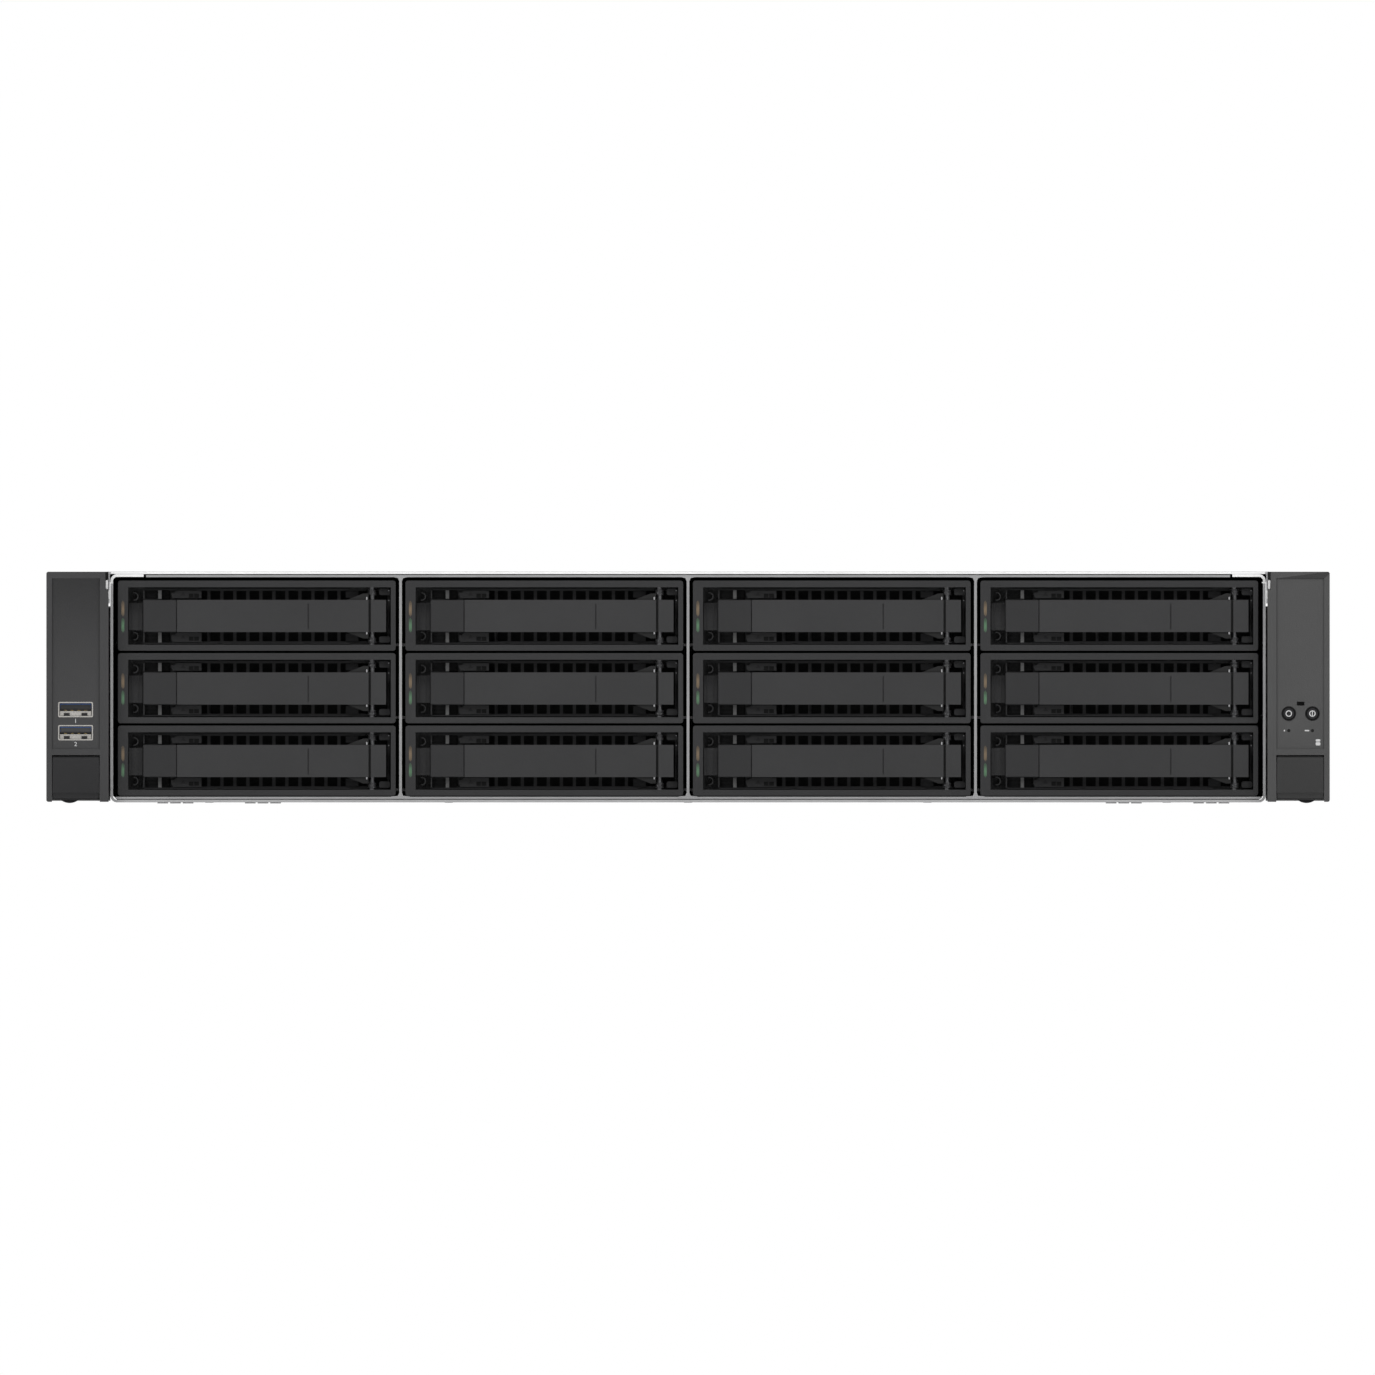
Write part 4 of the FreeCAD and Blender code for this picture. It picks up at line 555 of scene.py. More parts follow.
def along_y(edge):
    """True for an edge that runs from front to back."""
    one, other = (vert.co for vert in edge.verts)
    return abs(one.x - other.x) < 0.01 and abs(one.z - other.z) < 0.01


def block_mesh(low, high):
    """A plain block between two corners."""
    tool = bmesh.new()
    for vert in bmesh.ops.create_cube(tool, size=1)["verts"]:
        vert.co = Vector([high[axis] if vert.co[axis] > 0 else low[axis] for axis in range(3)])
    mesh = bpy.data.meshes.new("block")
    tool.to_mesh(mesh)
    tool.free()
    return mesh


def carve(bm, cuts):
    """Cut plain blocks, given by their low and high corners, out of a mesh."""
    for low, high in cuts:
        body = bpy.data.meshes.new("body")
        bm.to_mesh(body)
        bm.free()
        pair = [bpy.data.objects.new(mesh.name, mesh) for mesh in (body, block_mesh(low, high))]
        for item in pair:
            bpy.context.scene.collection.objects.link(item)
        modifier = pair[0].modifiers.new("cut", "BOOLEAN")
        modifier.object = pair[1]
        modifier.use_self = True
        bpy.context.view_layer.update()
        bm = bmesh.new()
        bm.from_object(pair[0], bpy.context.evaluated_depsgraph_get())
        for item in pair:
            bpy.data.objects.remove(item)
    return bm


def dress(node, slot, finishes, width, choose=None, cuts=()):
    """Replace a CAD node by a softened and painted copy."""
    shape = Shape(*finishes, bm=carve(node_mesh(node), cuts))
    if choose:
        shape.paint(choose)
    shape.soften(width)
    return add_piece(f"{node}_dressed", shape.mesh(node), NODES[node]["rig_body"], slot, node)


def text_mesh(text, x, z, y, height):
    """Flat characters that face the front, as a mesh in metres."""
    curve = bpy.data.curves.new(f"text_{text}", "FONT")
    curve.body = text
    curve.size = height * MM
    curve.align_x = "CENTER"
    curve.align_y = "CENTER"
    curve.extrude = 0.03 * MM
    holder = bpy.data.objects.new(curve.name, curve)
    bpy.context.scene.collection.objects.link(holder)
    bpy.context.view_layer.update()
    mesh = bpy.data.meshes.new_from_object(holder.evaluated_get(
        bpy.context.evaluated_depsgraph_get()))
    bpy.data.objects.remove(holder)
    mesh.transform(Matrix.Translation(Vector((x, y, z)) * MM)
                   @ Matrix.Rotation(math.radians(90), 4, "X"))
    return mesh


# ------------------------------------------------------ geometry nodes

class Grower(Graph):
    """A geometry tree with named size inputs, ending in plain mesh."""
    SHARP_ABOVE = math.radians(35)

    def __init__(self, name, **inputs):
        super().__init__(bpy.data.node_groups.new(name, "GeometryNodeTree"))
        face = self.tree.interface
        face.new_socket("Geometry", in_out="INPUT", socket_type="NodeSocketGeometry")
        self.names = {}
        for key, value in inputs.items():
            socket = face.new_socket(key, in_out="INPUT", socket_type="NodeSocketFloat")
            socket.default_value = value
            self.names[key] = socket.identifier
        face.new_socket("Geometry", in_out="OUTPUT", socket_type="NodeSocketGeometry")
        self.entry = self.node("NodeGroupInput")

    def size(self, key):
        return Wire(self, self.entry.outputs[key])

    def finish(self, shape, finish, turn=(0, 0, 0)):
        """Set the shape on each point, realize it and give it its material."""
        start = Wire(self, self.entry.outputs["Geometry"])
        spots = self.wire("GeometryNodeMeshToPoints", None, {"Mesh": start})
        many = self.wire("GeometryNodeInstanceOnPoints", None,
                         {"Points": spots, "Instance": shape, "Rotation": turn})
        real = self.wire("GeometryNodeRealizeInstances", None, {"Geometry": many})
        painted = self.wire("GeometryNodeSetMaterial", None,
                            {"Geometry": real, "Material": finish_named(finish)})
        self.node("NodeGroupOutput", None, {"Geometry": painted})

    def grow(self, name, points, **values):
        """Run the tree on points given in millimetres, and keep the mesh."""
        seed = bpy.data.meshes.new(f"{name}_seed")
        seed.from_pydata([tuple(Vector(point) * MM) for point in points], [], [])
        holder = bpy.data.objects.new(f"{name}_seed", seed)
        bpy.context.scene.collection.objects.link(holder)
        modifier = holder.modifiers.new("grow", "NODES")
        modifier.node_group = self.tree
        for key, value in values.items():
            modifier[self.names[key]] = value
        holder.update_tag()
        bpy.context.view_layer.update()
        graph = bpy.context.evaluated_depsgraph_get()
        mesh = bpy.data.meshes.new_from_object(holder.evaluated_get(graph))
        holder.modifiers.remove(modifier)
        bpy.data.objects.remove(holder)
        mesh.name = name
        mesh.shade_smooth()
        mesh.set_sharp_from_angle(angle=self.SHARP_ABOVE)
        return mesh


def spring_tree():
    """A coil of wire with an upright axis."""
    tree = Grower("torsion_spring", Turns=3.0, Radius=1.5 * MM, Rise=2.0 * MM, Wire=0.4 * MM)
    coil = tree.wire("GeometryNodeCurveSpiral", None,
                     {"Resolution": 18, "Rotations": tree.size("Turns"),
                      "Start Radius": tree.size("Radius"), "End Radius": tree.size("Radius"),
                      "Height": tree.size("Rise")})
    section = tree.wire("GeometryNodeCurvePrimitiveCircle", None,
                        {"Resolution": 8, "Radius": tree.size("Wire") / 2})
    tube = tree.wire("GeometryNodeCurveToMesh", None,
                     {"Curve": coil, "Profile Curve": section, "Fill Caps": True})
    tree.finish(tube, "dull_pin")
    return tree


def head_tree(name, finish, turn):
    """A low domed head on each point, turned to face an axis."""
    tree = Grower(name, Diameter=4 * MM, Rise=0.9 * MM)
    half = tree.size("Diameter") / 2
    dome = tree.wire("GeometryNodeMeshCone", None,
                     {"Vertices": 20, "Side Segments": 1, "Radius Top": half * 0.72,
                      "Radius Bottom": half, "Depth": tree.size("Rise")})
    socket = tree.wire("GeometryNodeMeshCylinder", None,
                       {"Vertices": 6, "Radius": half * 0.38, "Depth": tree.size("Rise")})
    pit = tree.wire("GeometryNodeTransform", None,
                    {"Geometry": socket, "Translation": (0, 0, 0.6 * MM)})
    head = tree.wire("GeometryNodeMeshBoolean", {"operation": "DIFFERENCE"},
                     {"Mesh 1": dome, "Mesh 2": pit})
    tree.finish(head, finish, turn)
    return tree


def grille_tree(finish):
    """A sheet with rows of six-sided holes, one tile per hole."""
    tree = Grower("hole_tiles", Pitch=3.0 * MM, Web=0.7 * MM, Gauge=0.4 * MM)
    outer = tree.size("Pitch") / math.sqrt(3)
    inner = outer - tree.size("Web") / math.sqrt(3)
    tile = tree.wire("GeometryNodeMeshCylinder", None,
                     {"Vertices": 6, "Radius": outer, "Depth": tree.size("Gauge")})
    hole = tree.wire("GeometryNodeMeshCylinder", None,
                     {"Vertices": 6, "Radius": inner, "Depth": tree.size("Gauge") * 3})
    ring = tree.wire("GeometryNodeMeshBoolean", {"operation": "DIFFERENCE"},
                     {"Mesh 1": tile, "Mesh 2": hole})
    tree.finish(ring, finish, turn=(math.radians(90), 0, 0))
    return tree


def rib_tree(finish):
    """A short bar on each point."""
    tree = Grower("ribs", Length=5 * MM, Height=0.3 * MM, Depth=0.6 * MM)
    measure = tree.wire("ShaderNodeCombineXYZ", None,
                        {"X": tree.size("Length"), "Y": tree.size("Depth"),
                         "Z": tree.size("Height")})
    bar = tree.wire("GeometryNodeMeshCube", None, {"Size": measure})
    tree.finish(bar, finish)
    return tree


# ---------------------------------------------------------- drive bays

def bay_offset(bay):
    """How far a bay lies from the first one, in millimetres."""
    return node_box(f"carrier_{bay}")[0] - CARRIER_LOW


def on_every_bay(stem, mesh, part, slot, stands_for=False):
    """One copy of a mesh on each bay's carrier, lever or release button."""
    for bay in BAYS:
        node = f"{part}_{bay}"
        copy = shifted(mesh, f"{stem}_{bay}", bay_offset(bay))
        add_piece(f"{stem}_{bay}", copy, node, slot, *([node] if stands_for else []))


class Bay:
    """Places in a bay, from the lower left corner and the face of the carrier's bezel."""
    LIP, FLOOR = 2.25, 8.0                              # bezel's lip, depth of its recess
    LEVER_LOW, LEVER_TOP = 7.0, 19.4                    # the lever's plate
    LEVER_TAIL = (94.0, 95.3)                           # gap before the plate's tail
    UPPER_BAND, LOWER_BAND = (19.55, 22.75), (3.1, 6.85)  # open above and below the lever
    HINGE, HINGE_DEPTH, HINGE_TOP = 95.5, 4.0, 23.9     # the pin's middle and upper end
    PIN_REACH = 1.1                                     # what counts as the pin, each way
    BEZEL_DEPTH, CASE_START = 11.4, 13                  # bezel's back, drive lid's front
    RAIL, LID = 1.4, 1.7                                # thickness of rails and lid
    CORNER_RADIUS, CORNER_DEPTH = 0.9, 10               # the bezel's outer corners


def bay_point(x, depth, z):
    """A place in the first bay, counted from the whole model's origin."""
    return CARRIER_LOW.x + x, FRONT_Y + depth, CARRIER_LOW.z + z


class BayShape(Shape):
    """A shape whose places count from the first bay."""

    def prism(self, outline, front, back, finish=None):
        placed = [(CARRIER_LOW.x + x, CARRIER_LOW.z + z) for x, z in outline]
        super().prism(placed, FRONT_Y + front, FRONT_Y + back, finish)

    def bar(self, left, right, low, high, front, back, finish=None):
        """A plain block between two widths, two heights and two depths."""
        self.prism(box_outline(left, right, low, high), front, back, finish)


def choose_carrier(centre, normal):
    """Bezel plastic in front, casting behind it, lid on top, pin at the hinge."""
    depth = centre.y - FRONT_Y
    x, z = centre.x - CARRIER_LOW.x, centre.z - CARRIER_LOW.z
    off_hinge = max(abs(x - Bay.HINGE), abs(depth - Bay.HINGE_DEPTH))
    # The hinge pin takes pin steel darkened as painted shade.
    if off_hinge < Bay.PIN_REACH and Bay.LIP < z < Bay.HINGE_TOP:
        return "dull_pin"
    # Front faces just behind the bezel take painted shade.
    if normal.y < -0.9 and 11 < depth < 12:
        return "pit"
    if depth < Bay.BEZEL_DEPTH or x < Bay.RAIL or x > BEZEL_WIDTH - Bay.RAIL:
        return "bezel"
    return "lid" if z > BEZEL_HEIGHT - Bay.LID and depth > Bay.CASE_START else "casting"


def bezel_corner(edge):
    """True for the four outer corners of the bezel."""
    spot = (edge.verts[0].co + edge.verts[1].co) / 2
    at_side = min(spot.x - CARRIER_LOW.x, CARRIER_HIGH.x - spot.x) < 0.05
    at_end = min(spot.z - CARRIER_LOW.z, CARRIER_HIGH.z - spot.z) < 0.05
    return along_y(edge) and at_side and at_end and spot.y < FRONT_Y + Bay.CORNER_DEPTH


class SERVER_OT_carriers(bpy.types.Operator):
    """Dress the drive carriers: bezel, hinge pin and the drive behind it"""
    bl_idname = "server.carriers"
    bl_label = "Drive Carriers"

    def execute(self, context):
        shape = Shape("bezel", "dull_pin", "casting", "lid", "pit",
                      bm=node_mesh(f"carrier_{FIRST_BAY}"))
        shape.paint(choose_carrier)
        shape.round_corners(Bay.CORNER_RADIUS, bezel_corner)
        shape.soften(sizes().plastic_edge)
        on_every_bay("bezel_and_drive", shape.mesh("carrier"), "carrier", "bezel_plastic", True)
        return {"FINISHED"}


def choose_lever(centre, normal):
    """Arms, the gap between the plate and its tail, and the faces further back, darkened as
    painted shade.
    """
    x, z = centre.x - CARRIER_LOW.x, centre.z - CARRIER_LOW.z
    depth = centre.y - LEVER_FRONT
    arm = z < Bay.LEVER_LOW - 0.05 or z > Bay.LEVER_TOP + 0.05
    gap = Bay.LEVER_TAIL[0] < x < Bay.LEVER_TAIL[1] and depth > 0.5
    # Arms, gap and back faces take painted shade.
    return "arm" if arm or gap or depth > 1.2 else "lever"


class SERVER_OT_levers(bpy.types.Operator):
    """Dress the carrier levers"""
    bl_idname = "server.levers"
    bl_label = "Carrier Levers"

    def execute(self, context):
        shape = Shape("lever", "arm", bm=node_mesh(f"lever_{FIRST_BAY}"))
        shape.paint(choose_lever)
        shape.soften(sizes().plastic_edge)
        on_every_bay("lever_grip", shape.mesh("lever"), "lever", "lever_plastic", True)
        return {"FINISHED"}


class SERVER_OT_release_buttons(bpy.types.Operator):
    """Dress the release buttons beside the levers"""
    bl_idname = "server.release_buttons"
    bl_label = "Release Buttons"

    def execute(self, context):
        shape = Shape("button", bm=node_mesh(f"release_button_{FIRST_BAY}"))
        shape.soften(sizes().plastic_edge)
        on_every_bay("release_grip", shape.mesh("release"), "release_button",
                     "button_plastic", True)
        return {"FINISHED"}


class SERVER_OT_light_pipes(bpy.types.Operator):
    """Set the two status light pipes in each bezel's left bar"""
    bl_idname = "server.light_pipes"
    bl_label = "Light Pipes"
    LEFT, RIGHT = 1.1, 2.6
    LEVELS = 9
    CROWN = 0.02
    PROFILE = ((-1, 1, 0.35), (-0.5, -1, 1), (0.5, -1, 1), (1, 1, 0.35))

    def execute(self, context):
        shape = Shape("amber", "green")
        painted_sheen = shape.bm.verts.layers.float.new("painted_sheen")
        self.pipe(shape, painted_sheen, 12.9, 18.8, "amber")
        self.pipe(shape, painted_sheen, 6.9, 12.3, "green")
        on_every_bay("light_pipes", shape.mesh("light_pipes"), "carrier", "bezel_plastic")
        return {"FINISHED"}

    def pipe(self, shape, painted_sheen, low, high, finish):
        """A round-ended strip with a painted highlight down its middle that fades to both ends."""
        middle, radius = (self.LEFT + self.RIGHT) / 2, (self.RIGHT - self.LEFT) / 2
        rows = []
        for level in range(self.LEVELS):
            share = level / (self.LEVELS - 1)
            z = low + (high - low) * share
            to_end = min(z - low, high - z)
            half = radius
            if to_end <= radius:
                half = math.sqrt(max(0.02, radius ** 2 - (radius - to_end) ** 2))
            # The painted highlight fades towards the ends.
            sheen_fade = math.sin(math.pi * min(1, share * 1.15)) if share < 0.87 else 0.1
            row = []
            for side, crown, strength in self.PROFILE:
                vert = shape.bm.verts.new(bay_point(middle + side * half, crown * self.CROWN, z))
                vert[painted_sheen] = max(0.0, sheen_fade) * strength
                row.append(vert)
            rows.append(row)
        for below, above in zip(rows, rows[1:]):
            for index in range(len(self.PROFILE) - 1):
                shape.face((below[index], below[index + 1], above[index + 1], above[index]),
                           finish)


def corner_posts(shape):
    """Ring posts in the dark corner pockets, open towards the left."""
    for z in (20.4, 5.5):
        ring = arc_outline(6.1, z, inner=1.2, outer=1.6, start=-105, end=105)
        shape.prism(ring, 4.4, 8.9, "lever")


def latch_works(shape):
    """Parts of the latch that show above and below the lever."""
    floor = Bay.FLOOR
    for low, high in (Bay.UPPER_BAND, Bay.LOWER_BAND):
        middle = (low + high) / 2
        shape.bar(9.55, 9.95, low, high, 4.6, floor, "lever")
        # Near-black bars here are painted shade in the hollows beside the latch.
        shape.bar(10.3, 15.0, low, high, 7.85, floor, "pit")
        shape.bar(15.1, 16.4, low, high, 4.6, 7.6, "strip")
        shape.bar(16.5, 19.4, low, high, 7.2, floor, "pit")
        plate = [(20.0, low + 1.6), (20.6, low + 0.2), (31.4, low + 0.2), (31.4, high - 0.1),
                 (22.0, high - 0.1), (21.2, high - 0.9), (20.0, high - 0.9)]
        shape.prism(plate, 4.9, 7.9, "bezel")
        wedge = [(23.6, middle - 0.4), (25.4, middle - 0.4), (24.5, middle + 1.0)]
        shape.prism(wedge, 4.7, 4.9, "trim")
        shape.bar(26.7, 30.4, middle - 1.2, middle + 0.3, 4.7, 4.9, "pit")
        shape.bar(28.3, 28.7, middle - 1.2, middle + 0.3, 4.6, 4.7, "trim")
        shape.bar(85.6, 90.4, low + 0.4, high - 0.4, 6.9, floor, "trim")
    # Thin dark bars along the recess's upper and lower edges: painted shade under the lips.
    for low in (23.0, 2.65):
        for left, right in ((10.0, 37.6), (38.9, 70.6), (72.0, 87.4)):
            shape.bar(left, right, low, low + 0.35, 3.6, floor, "trim")


def button_seat(shape):
    """Faint upright lines beside the button."""
    for x in (5.2, 7.6):
        shape.bar(x, x + 0.2, 8.0, 17.9, 3.4, 3.55, "bezel")


def hinge_stop(shape):
    """Blocks above and below the hinge, and the pins beside them."""
    for low, high in ((20.9, 23.4), (3.0, 5.4)):
        shape.prism(round_outline(98.2, 102.3, low, high, radius=0.7), 3.4, Bay.FLOOR, "trim")
    for z in (22.6, 18.9):
        shape.prism(disc_outline(101.8, z, radius=0.25, count=10), 2.2, 3.4, "dull_pin")


class SERVER_OT_bay_trim(bpy.types.Operator):
    """Fit the small moulded parts inside each bezel's recess"""
    bl_idname = "server.bay_trim"
    bl_label = "Bay Trim"

    def execute(self, context):
        shape = BayShape("bezel", "trim", "strip", "pit", "dull_pin", "lever")
        corner_posts(shape)
        latch_works(shape)
        button_seat(shape)
        hinge_stop(shape)
        shape.outward()
        on_every_bay("bay_trim", shape.mesh("bay_trim"), "carrier", "bezel_plastic")
        return {"FINISHED"}


class SERVER_OT_hatching(bpy.types.Operator):
    """Lay the fine grip ribs beside each release button"""
    bl_idname = "server.hatching"
    bl_label = "Grip Ribs"
    MIDDLE, DEPTH = 12.6, 7.75
    FIELDS = ((19.6, 22.8), (3.2, 6.8))
    RIBS = 7

    def execute(self, context):
        spots = [bay_point(self.MIDDLE, self.DEPTH, low + (high - low) * (rib + 0.5) / self.RIBS)
                 for low, high in self.FIELDS for rib in range(self.RIBS)]
        mesh = rib_tree("trim").grow("ribs", spots, Length=4.6 * MM, Height=0.2 * MM,
                                     Depth=0.5 * MM)
        on_every_bay("grip_ribs", mesh, "carrier", "bezel_plastic")
        return {"FINISHED"}


class SERVER_OT_springs(bpy.types.Operator):
    """Wind the torsion springs on each lever's hinge pin"""
    bl_idname = "server.springs"
    bl_label = "Lever Springs"
    COIL_LOW = (3.0, 21.0)
    LEG_X, LEG_Z = 93.55, (19.7, 6.7)

    def execute(self, context):
        spots = [bay_point(Bay.HINGE, Bay.HINGE_DEPTH, low) for low in self.COIL_LOW]
        mesh = spring_tree().grow("springs", spots, Turns=3.5, Radius=1.45 * MM, Rise=1.9 * MM,
                                  Wire=sizes().spring_wire)
        on_every_bay("torsion_springs", mesh, "lever", "screw_steel")
        legs = BayShape("pin")
        for z in self.LEG_Z:
            leg = round_outline(self.LEG_X - 0.25, self.LEG_X + 0.25, z - 0.55, z + 0.55,
                                radius=0.22)
            legs.prism(leg, 0.8, 1.45)
        legs.outward()
        on_every_bay("spring_legs", legs.mesh("spring_legs"), "lever", "screw_steel")
        return {"FINISHED"}


# ---------------------------------------------------------------- ears

class Ear:
    """Measures of the two ears, from an ear's front, foot and edges."""
    OUTER_RIM, INNER_RIM = 2.1, 4.0             # width of the rims beside the sunk panel
    PANEL_LOW = 19                              # the panel's lower end
    HOUSING_DEPTH = 26                          # how far back the plastic goes
    NOTCH_END, NOTCH_DEPTH = 216.3, 3.1         # the notches' inner end and depth
    NOTCHES = ((219.1, 80.4), (218.05, 76.6))   # each one's outer edge and foot
    TABS = ((218.15, 218.95, 80.6, 84.0), (217.35, 217.95, 76.8, 80.2))


def choose_ear(side):
    """Panel, inner rim darkened as painted shade, steel bracket, and the housing for the rest."""
    low, high = node_box(f"{side}_ear")
    if SIDES[side] < 0:
        left, right = low.x + Ear.OUTER_RIM, high.x - Ear.INNER_RIM
    else:
        left, right = low.x + Ear.INNER_RIM, high.x - Ear.OUTER_RIM
    inner = min(abs(left), abs(right))

    def choose(centre, normal):
        depth = centre.y - low.y
        if depth > Ear.HOUSING_DEPTH + 0.2:
            return "steel"
        if normal.y < -0.9 and left < centre.x < right and centre.z > low.z + Ear.PANEL_LOW:
            return f"{side}_panel"
        # The inner rim takes painted shade.
        rim = abs(centre.x) < inner and depth < Ear.HOUSING_DEPTH
        return f"{side}_rim" if rim else f"{side}_ear"
    return choose


def ear_notch(side):
    """Where the inner upper corner of an ear is cut away."""
    low, high = node_box(f"{side}_ear")
    cuts = []
    for edge, base in Ear.NOTCHES:
        near, far = sorted((SIDES[side] * edge, SIDES[side] * Ear.NOTCH_END))
        cuts.append(((near, low.y - 1, base), (far, low.y + Ear.NOTCH_DEPTH, high.z + 1)))
    return cuts


class SERVER_OT_ears(bpy.types.Operator):
    """Dress the two rack ears and their brackets"""
    bl_idname = "server.ears"
    bl_label = "Rack Ears"

    def execute(self, context):
        edge = sizes().plastic_edge
        for side, sign in SIDES.items():
            finishes = (f"{side}_ear", f"{side}_panel", "steel", f"{side}_rim")
            dress(f"{side}_ear", "ear_plastic", finishes, edge, choose_ear(side),
                  ear_notch(side))
            dress(f"{side}_ear_flap", "cap_plastic", (f"{side}_ear",), edge * 0.6)
            front = node_box(f"{side}_ear")[0].y
            # The tabs are painted near white as a highlight.
            tabs = Shape("painted_highlight")
            for near, far, base, top in Ear.TABS:
                ends = sorted((sign * near, sign * far))
                tabs.prism(round_outline(*ends, base, top, radius=0.35), front + 1.2, front + 2.9)
            tabs.outward()
            add_piece(f"{side}_ear_tabs", tabs.mesh("tabs"), "chassis", "zinc_steel")
        return {"FINISHED"}


class PortShape(Shape):
    """Serial ports: metal rim, tongue and contacts."""
    WIDE, TALL, WALL, DEPTH = 13.1, 5.75, 0.45, 9

    def __init__(self):
        super().__init__("nickel", "tongue", "gold", "cap")

    def port(self, x, z, face):
        """One port that opens towards the front."""
        wide, tall, back = self.WIDE / 2, self.TALL / 2, face + self.DEPTH
        outer = round_outline(x - wide, x + wide, z - tall, z + tall, 0.5, steps=3)
        wide, tall = wide - self.WALL, tall - self.WALL
        inner = round_outline(x - wide, x + wide, z - tall, z + tall, 0.3, steps=3)
        self.tube(outer, inner, face - 0.05, back)
        half = wide - 0.25
        self.prism(box_outline(x - half, x + half, z + 0.35, z + 2.2), face + 0.5, back, "tongue")
        self.prism(box_outline(x - half, x + half, z - 0.2, z + 0.35), face + 0.4, back, "cap")
        for step in range(4):
            at = x - 3.75 + step * 2.5
            contact = box_outline(at - 0.5, at + 0.5, z - 0.32, z - 0.18)
            self.prism(contact, face + 1.2, face + 8, "gold")
        self.prism(box_outline(x - half, x + half, z - 2.35, z - 0.55), face + 1.6, back, "nickel")
        for at in (x - 3.3, x + 3.3):
            spring = box_outline(at - 1.1, at + 1.1, z - 2.35, z - 1.3)
            self.prism(spring, face + 0.6, face + 1.6, "cap")


class SERVER_OT_serial_ports(bpy.types.Operator):
    """Fit the two serial ports of the left ear, with a numeral under each"""
    bl_idname = "server.serial_ports"
    bl_label = "Serial Ports"
    FROM_EDGE, LEVELS = 11.0, (35.3, 26.6)
    NUMERAL_DROP, NUMERAL_HEIGHT = 4.35, 2.3

    def execute(self, context):
        low, high = node_box("left_ear")
        x = low.x + self.FROM_EDGE
        shape = PortShape()
        for z in self.LEVELS:
            shape.port(x, z, low.y + 0.45)
        shape.outward()
        add_piece("serial_ports", shape.mesh("serial_ports"), "chassis", "screw_steel")
        for digit, z in zip("12", self.LEVELS):
            mesh = text_mesh(digit, x, z - self.NUMERAL_DROP, low.y + 0.47, self.NUMERAL_HEIGHT)
            mesh.materials.append(finish_named("mark"))
            add_piece(f"port_numeral_{digit}", mesh, "chassis", "ear_plastic")
        return {"FINISHED"}


def middle_of(node):
    low, high = node_box(node)
    return (low + high) / 2


class SERVER_OT_ear_marks(bpy.types.Operator):
    """Ring the push buttons and set dark discs in the lamp holes, both in painted shade, and print
    the generic marks
    """
    bl_idname = "server.ear_marks"
    bl_label = "Ear Marks"
    LAMP_LEVEL = 27.4

    def execute(self, context):
        face = node_box("right_ear")[0].y + 0.5
        power, locator = middle_of("power_button"), middle_of("id_button")
        # Rings and lamp holes are near-black sheets of painted shade.
        rings = Shape("pit")
        for middle in (power, locator):
            outer, inner = (disc_outline(middle.x, middle.z, radius) for radius in (2.75, 2.35))
            rings.tube(outer, inner, face - 0.12, face + 2)
            lamp = disc_outline(middle.x, self.LAMP_LEVEL, radius=0.6, count=16)
            rings.prism(lamp, face - 0.03, face + 0.6)
        rings.outward()
        add_piece("button_rings", rings.mesh("button_rings"), "chassis", "ear_plastic")
        marks = Shape("mark")
        for left, right, low, high, radius in (
                (locator.x - 2.9, locator.x - 1.2, 27.15, 27.65, 0.2),
                (power.x - 1.9, power.x - 1.4, 27.1, 27.7, 0.2),
                (locator.x + 1.2, locator.x + 3.0, 23.25, 24.15, 0.42),
                (locator.x + 1.2, locator.x + 3.0, 21.8, 23.05, 0.42)):
            marks.prism(round_outline(left, right, low, high, radius), face - 0.04, face + 0.1)
        marks.outward()
        add_piece("ear_marks", marks.mesh("ear_marks"), "chassis", "ear_plastic")
        return {"FINISHED"}


class SERVER_OT_push_buttons(bpy.types.Operator):
    """Dress the power and locator buttons, each with a ring on its cap"""
    bl_idname = "server.push_buttons"
    bl_label = "Push Buttons"
    SETBACK = 0.15

    def execute(self, context):
        for name in ("power", "id"):
            node = f"{name}_button"
            front, middle = node_box(node)[0].y, middle_of(node)
            cap = Shape("cap", bm=node_mesh(node))
            for vert in cap.bm.verts:
                if vert.co.y < front + 0.01:
                    vert.co.y += self.SETBACK
            cap.soften(sizes().plastic_edge * 0.6)
            add_piece(f"{node}_cap", cap.mesh(node), node, "button_plastic", node)
            mark = Shape("mark")
            outer, inner = (disc_outline(middle.x, middle.z, radius) for radius in (1.2, 0.85))
            mark.tube(outer, inner, front + 0.05, front + 0.3)
            if name == "id":
                bar = box_outline(middle.x - 0.2, middle.x + 0.15, middle.z - 0.9, middle.z + 0.9)
                mark.prism(bar, front + 0.05, front + 0.3)
            mark.outward()
            add_piece(f"{name}_mark", mark.mesh(node), node, "button_plastic")
        return {"FINISHED"}


class SERVER_OT_captive_screws(bpy.types.Operator):
    """Dress the captive rack screws under the ears"""
    bl_idname = "server.captive_screws"
    bl_label = "Captive Screws"

    def execute(self, context):
        for side in SIDES:
            dress(f"{side}_captive_screw", "screw_steel", ("dark_steel",), sizes().sheet_edge)
        return {"FINISHED"}


# ---------------------------------------------------------------- case

def choose_front_cover(centre, normal):
    """Painted highlight on the front edge."""
    at_front = normal.y < -0.9 and centre.y < node_box("front_cover")[0].y + 1
    return "painted_highlight" if at_front else "cover"


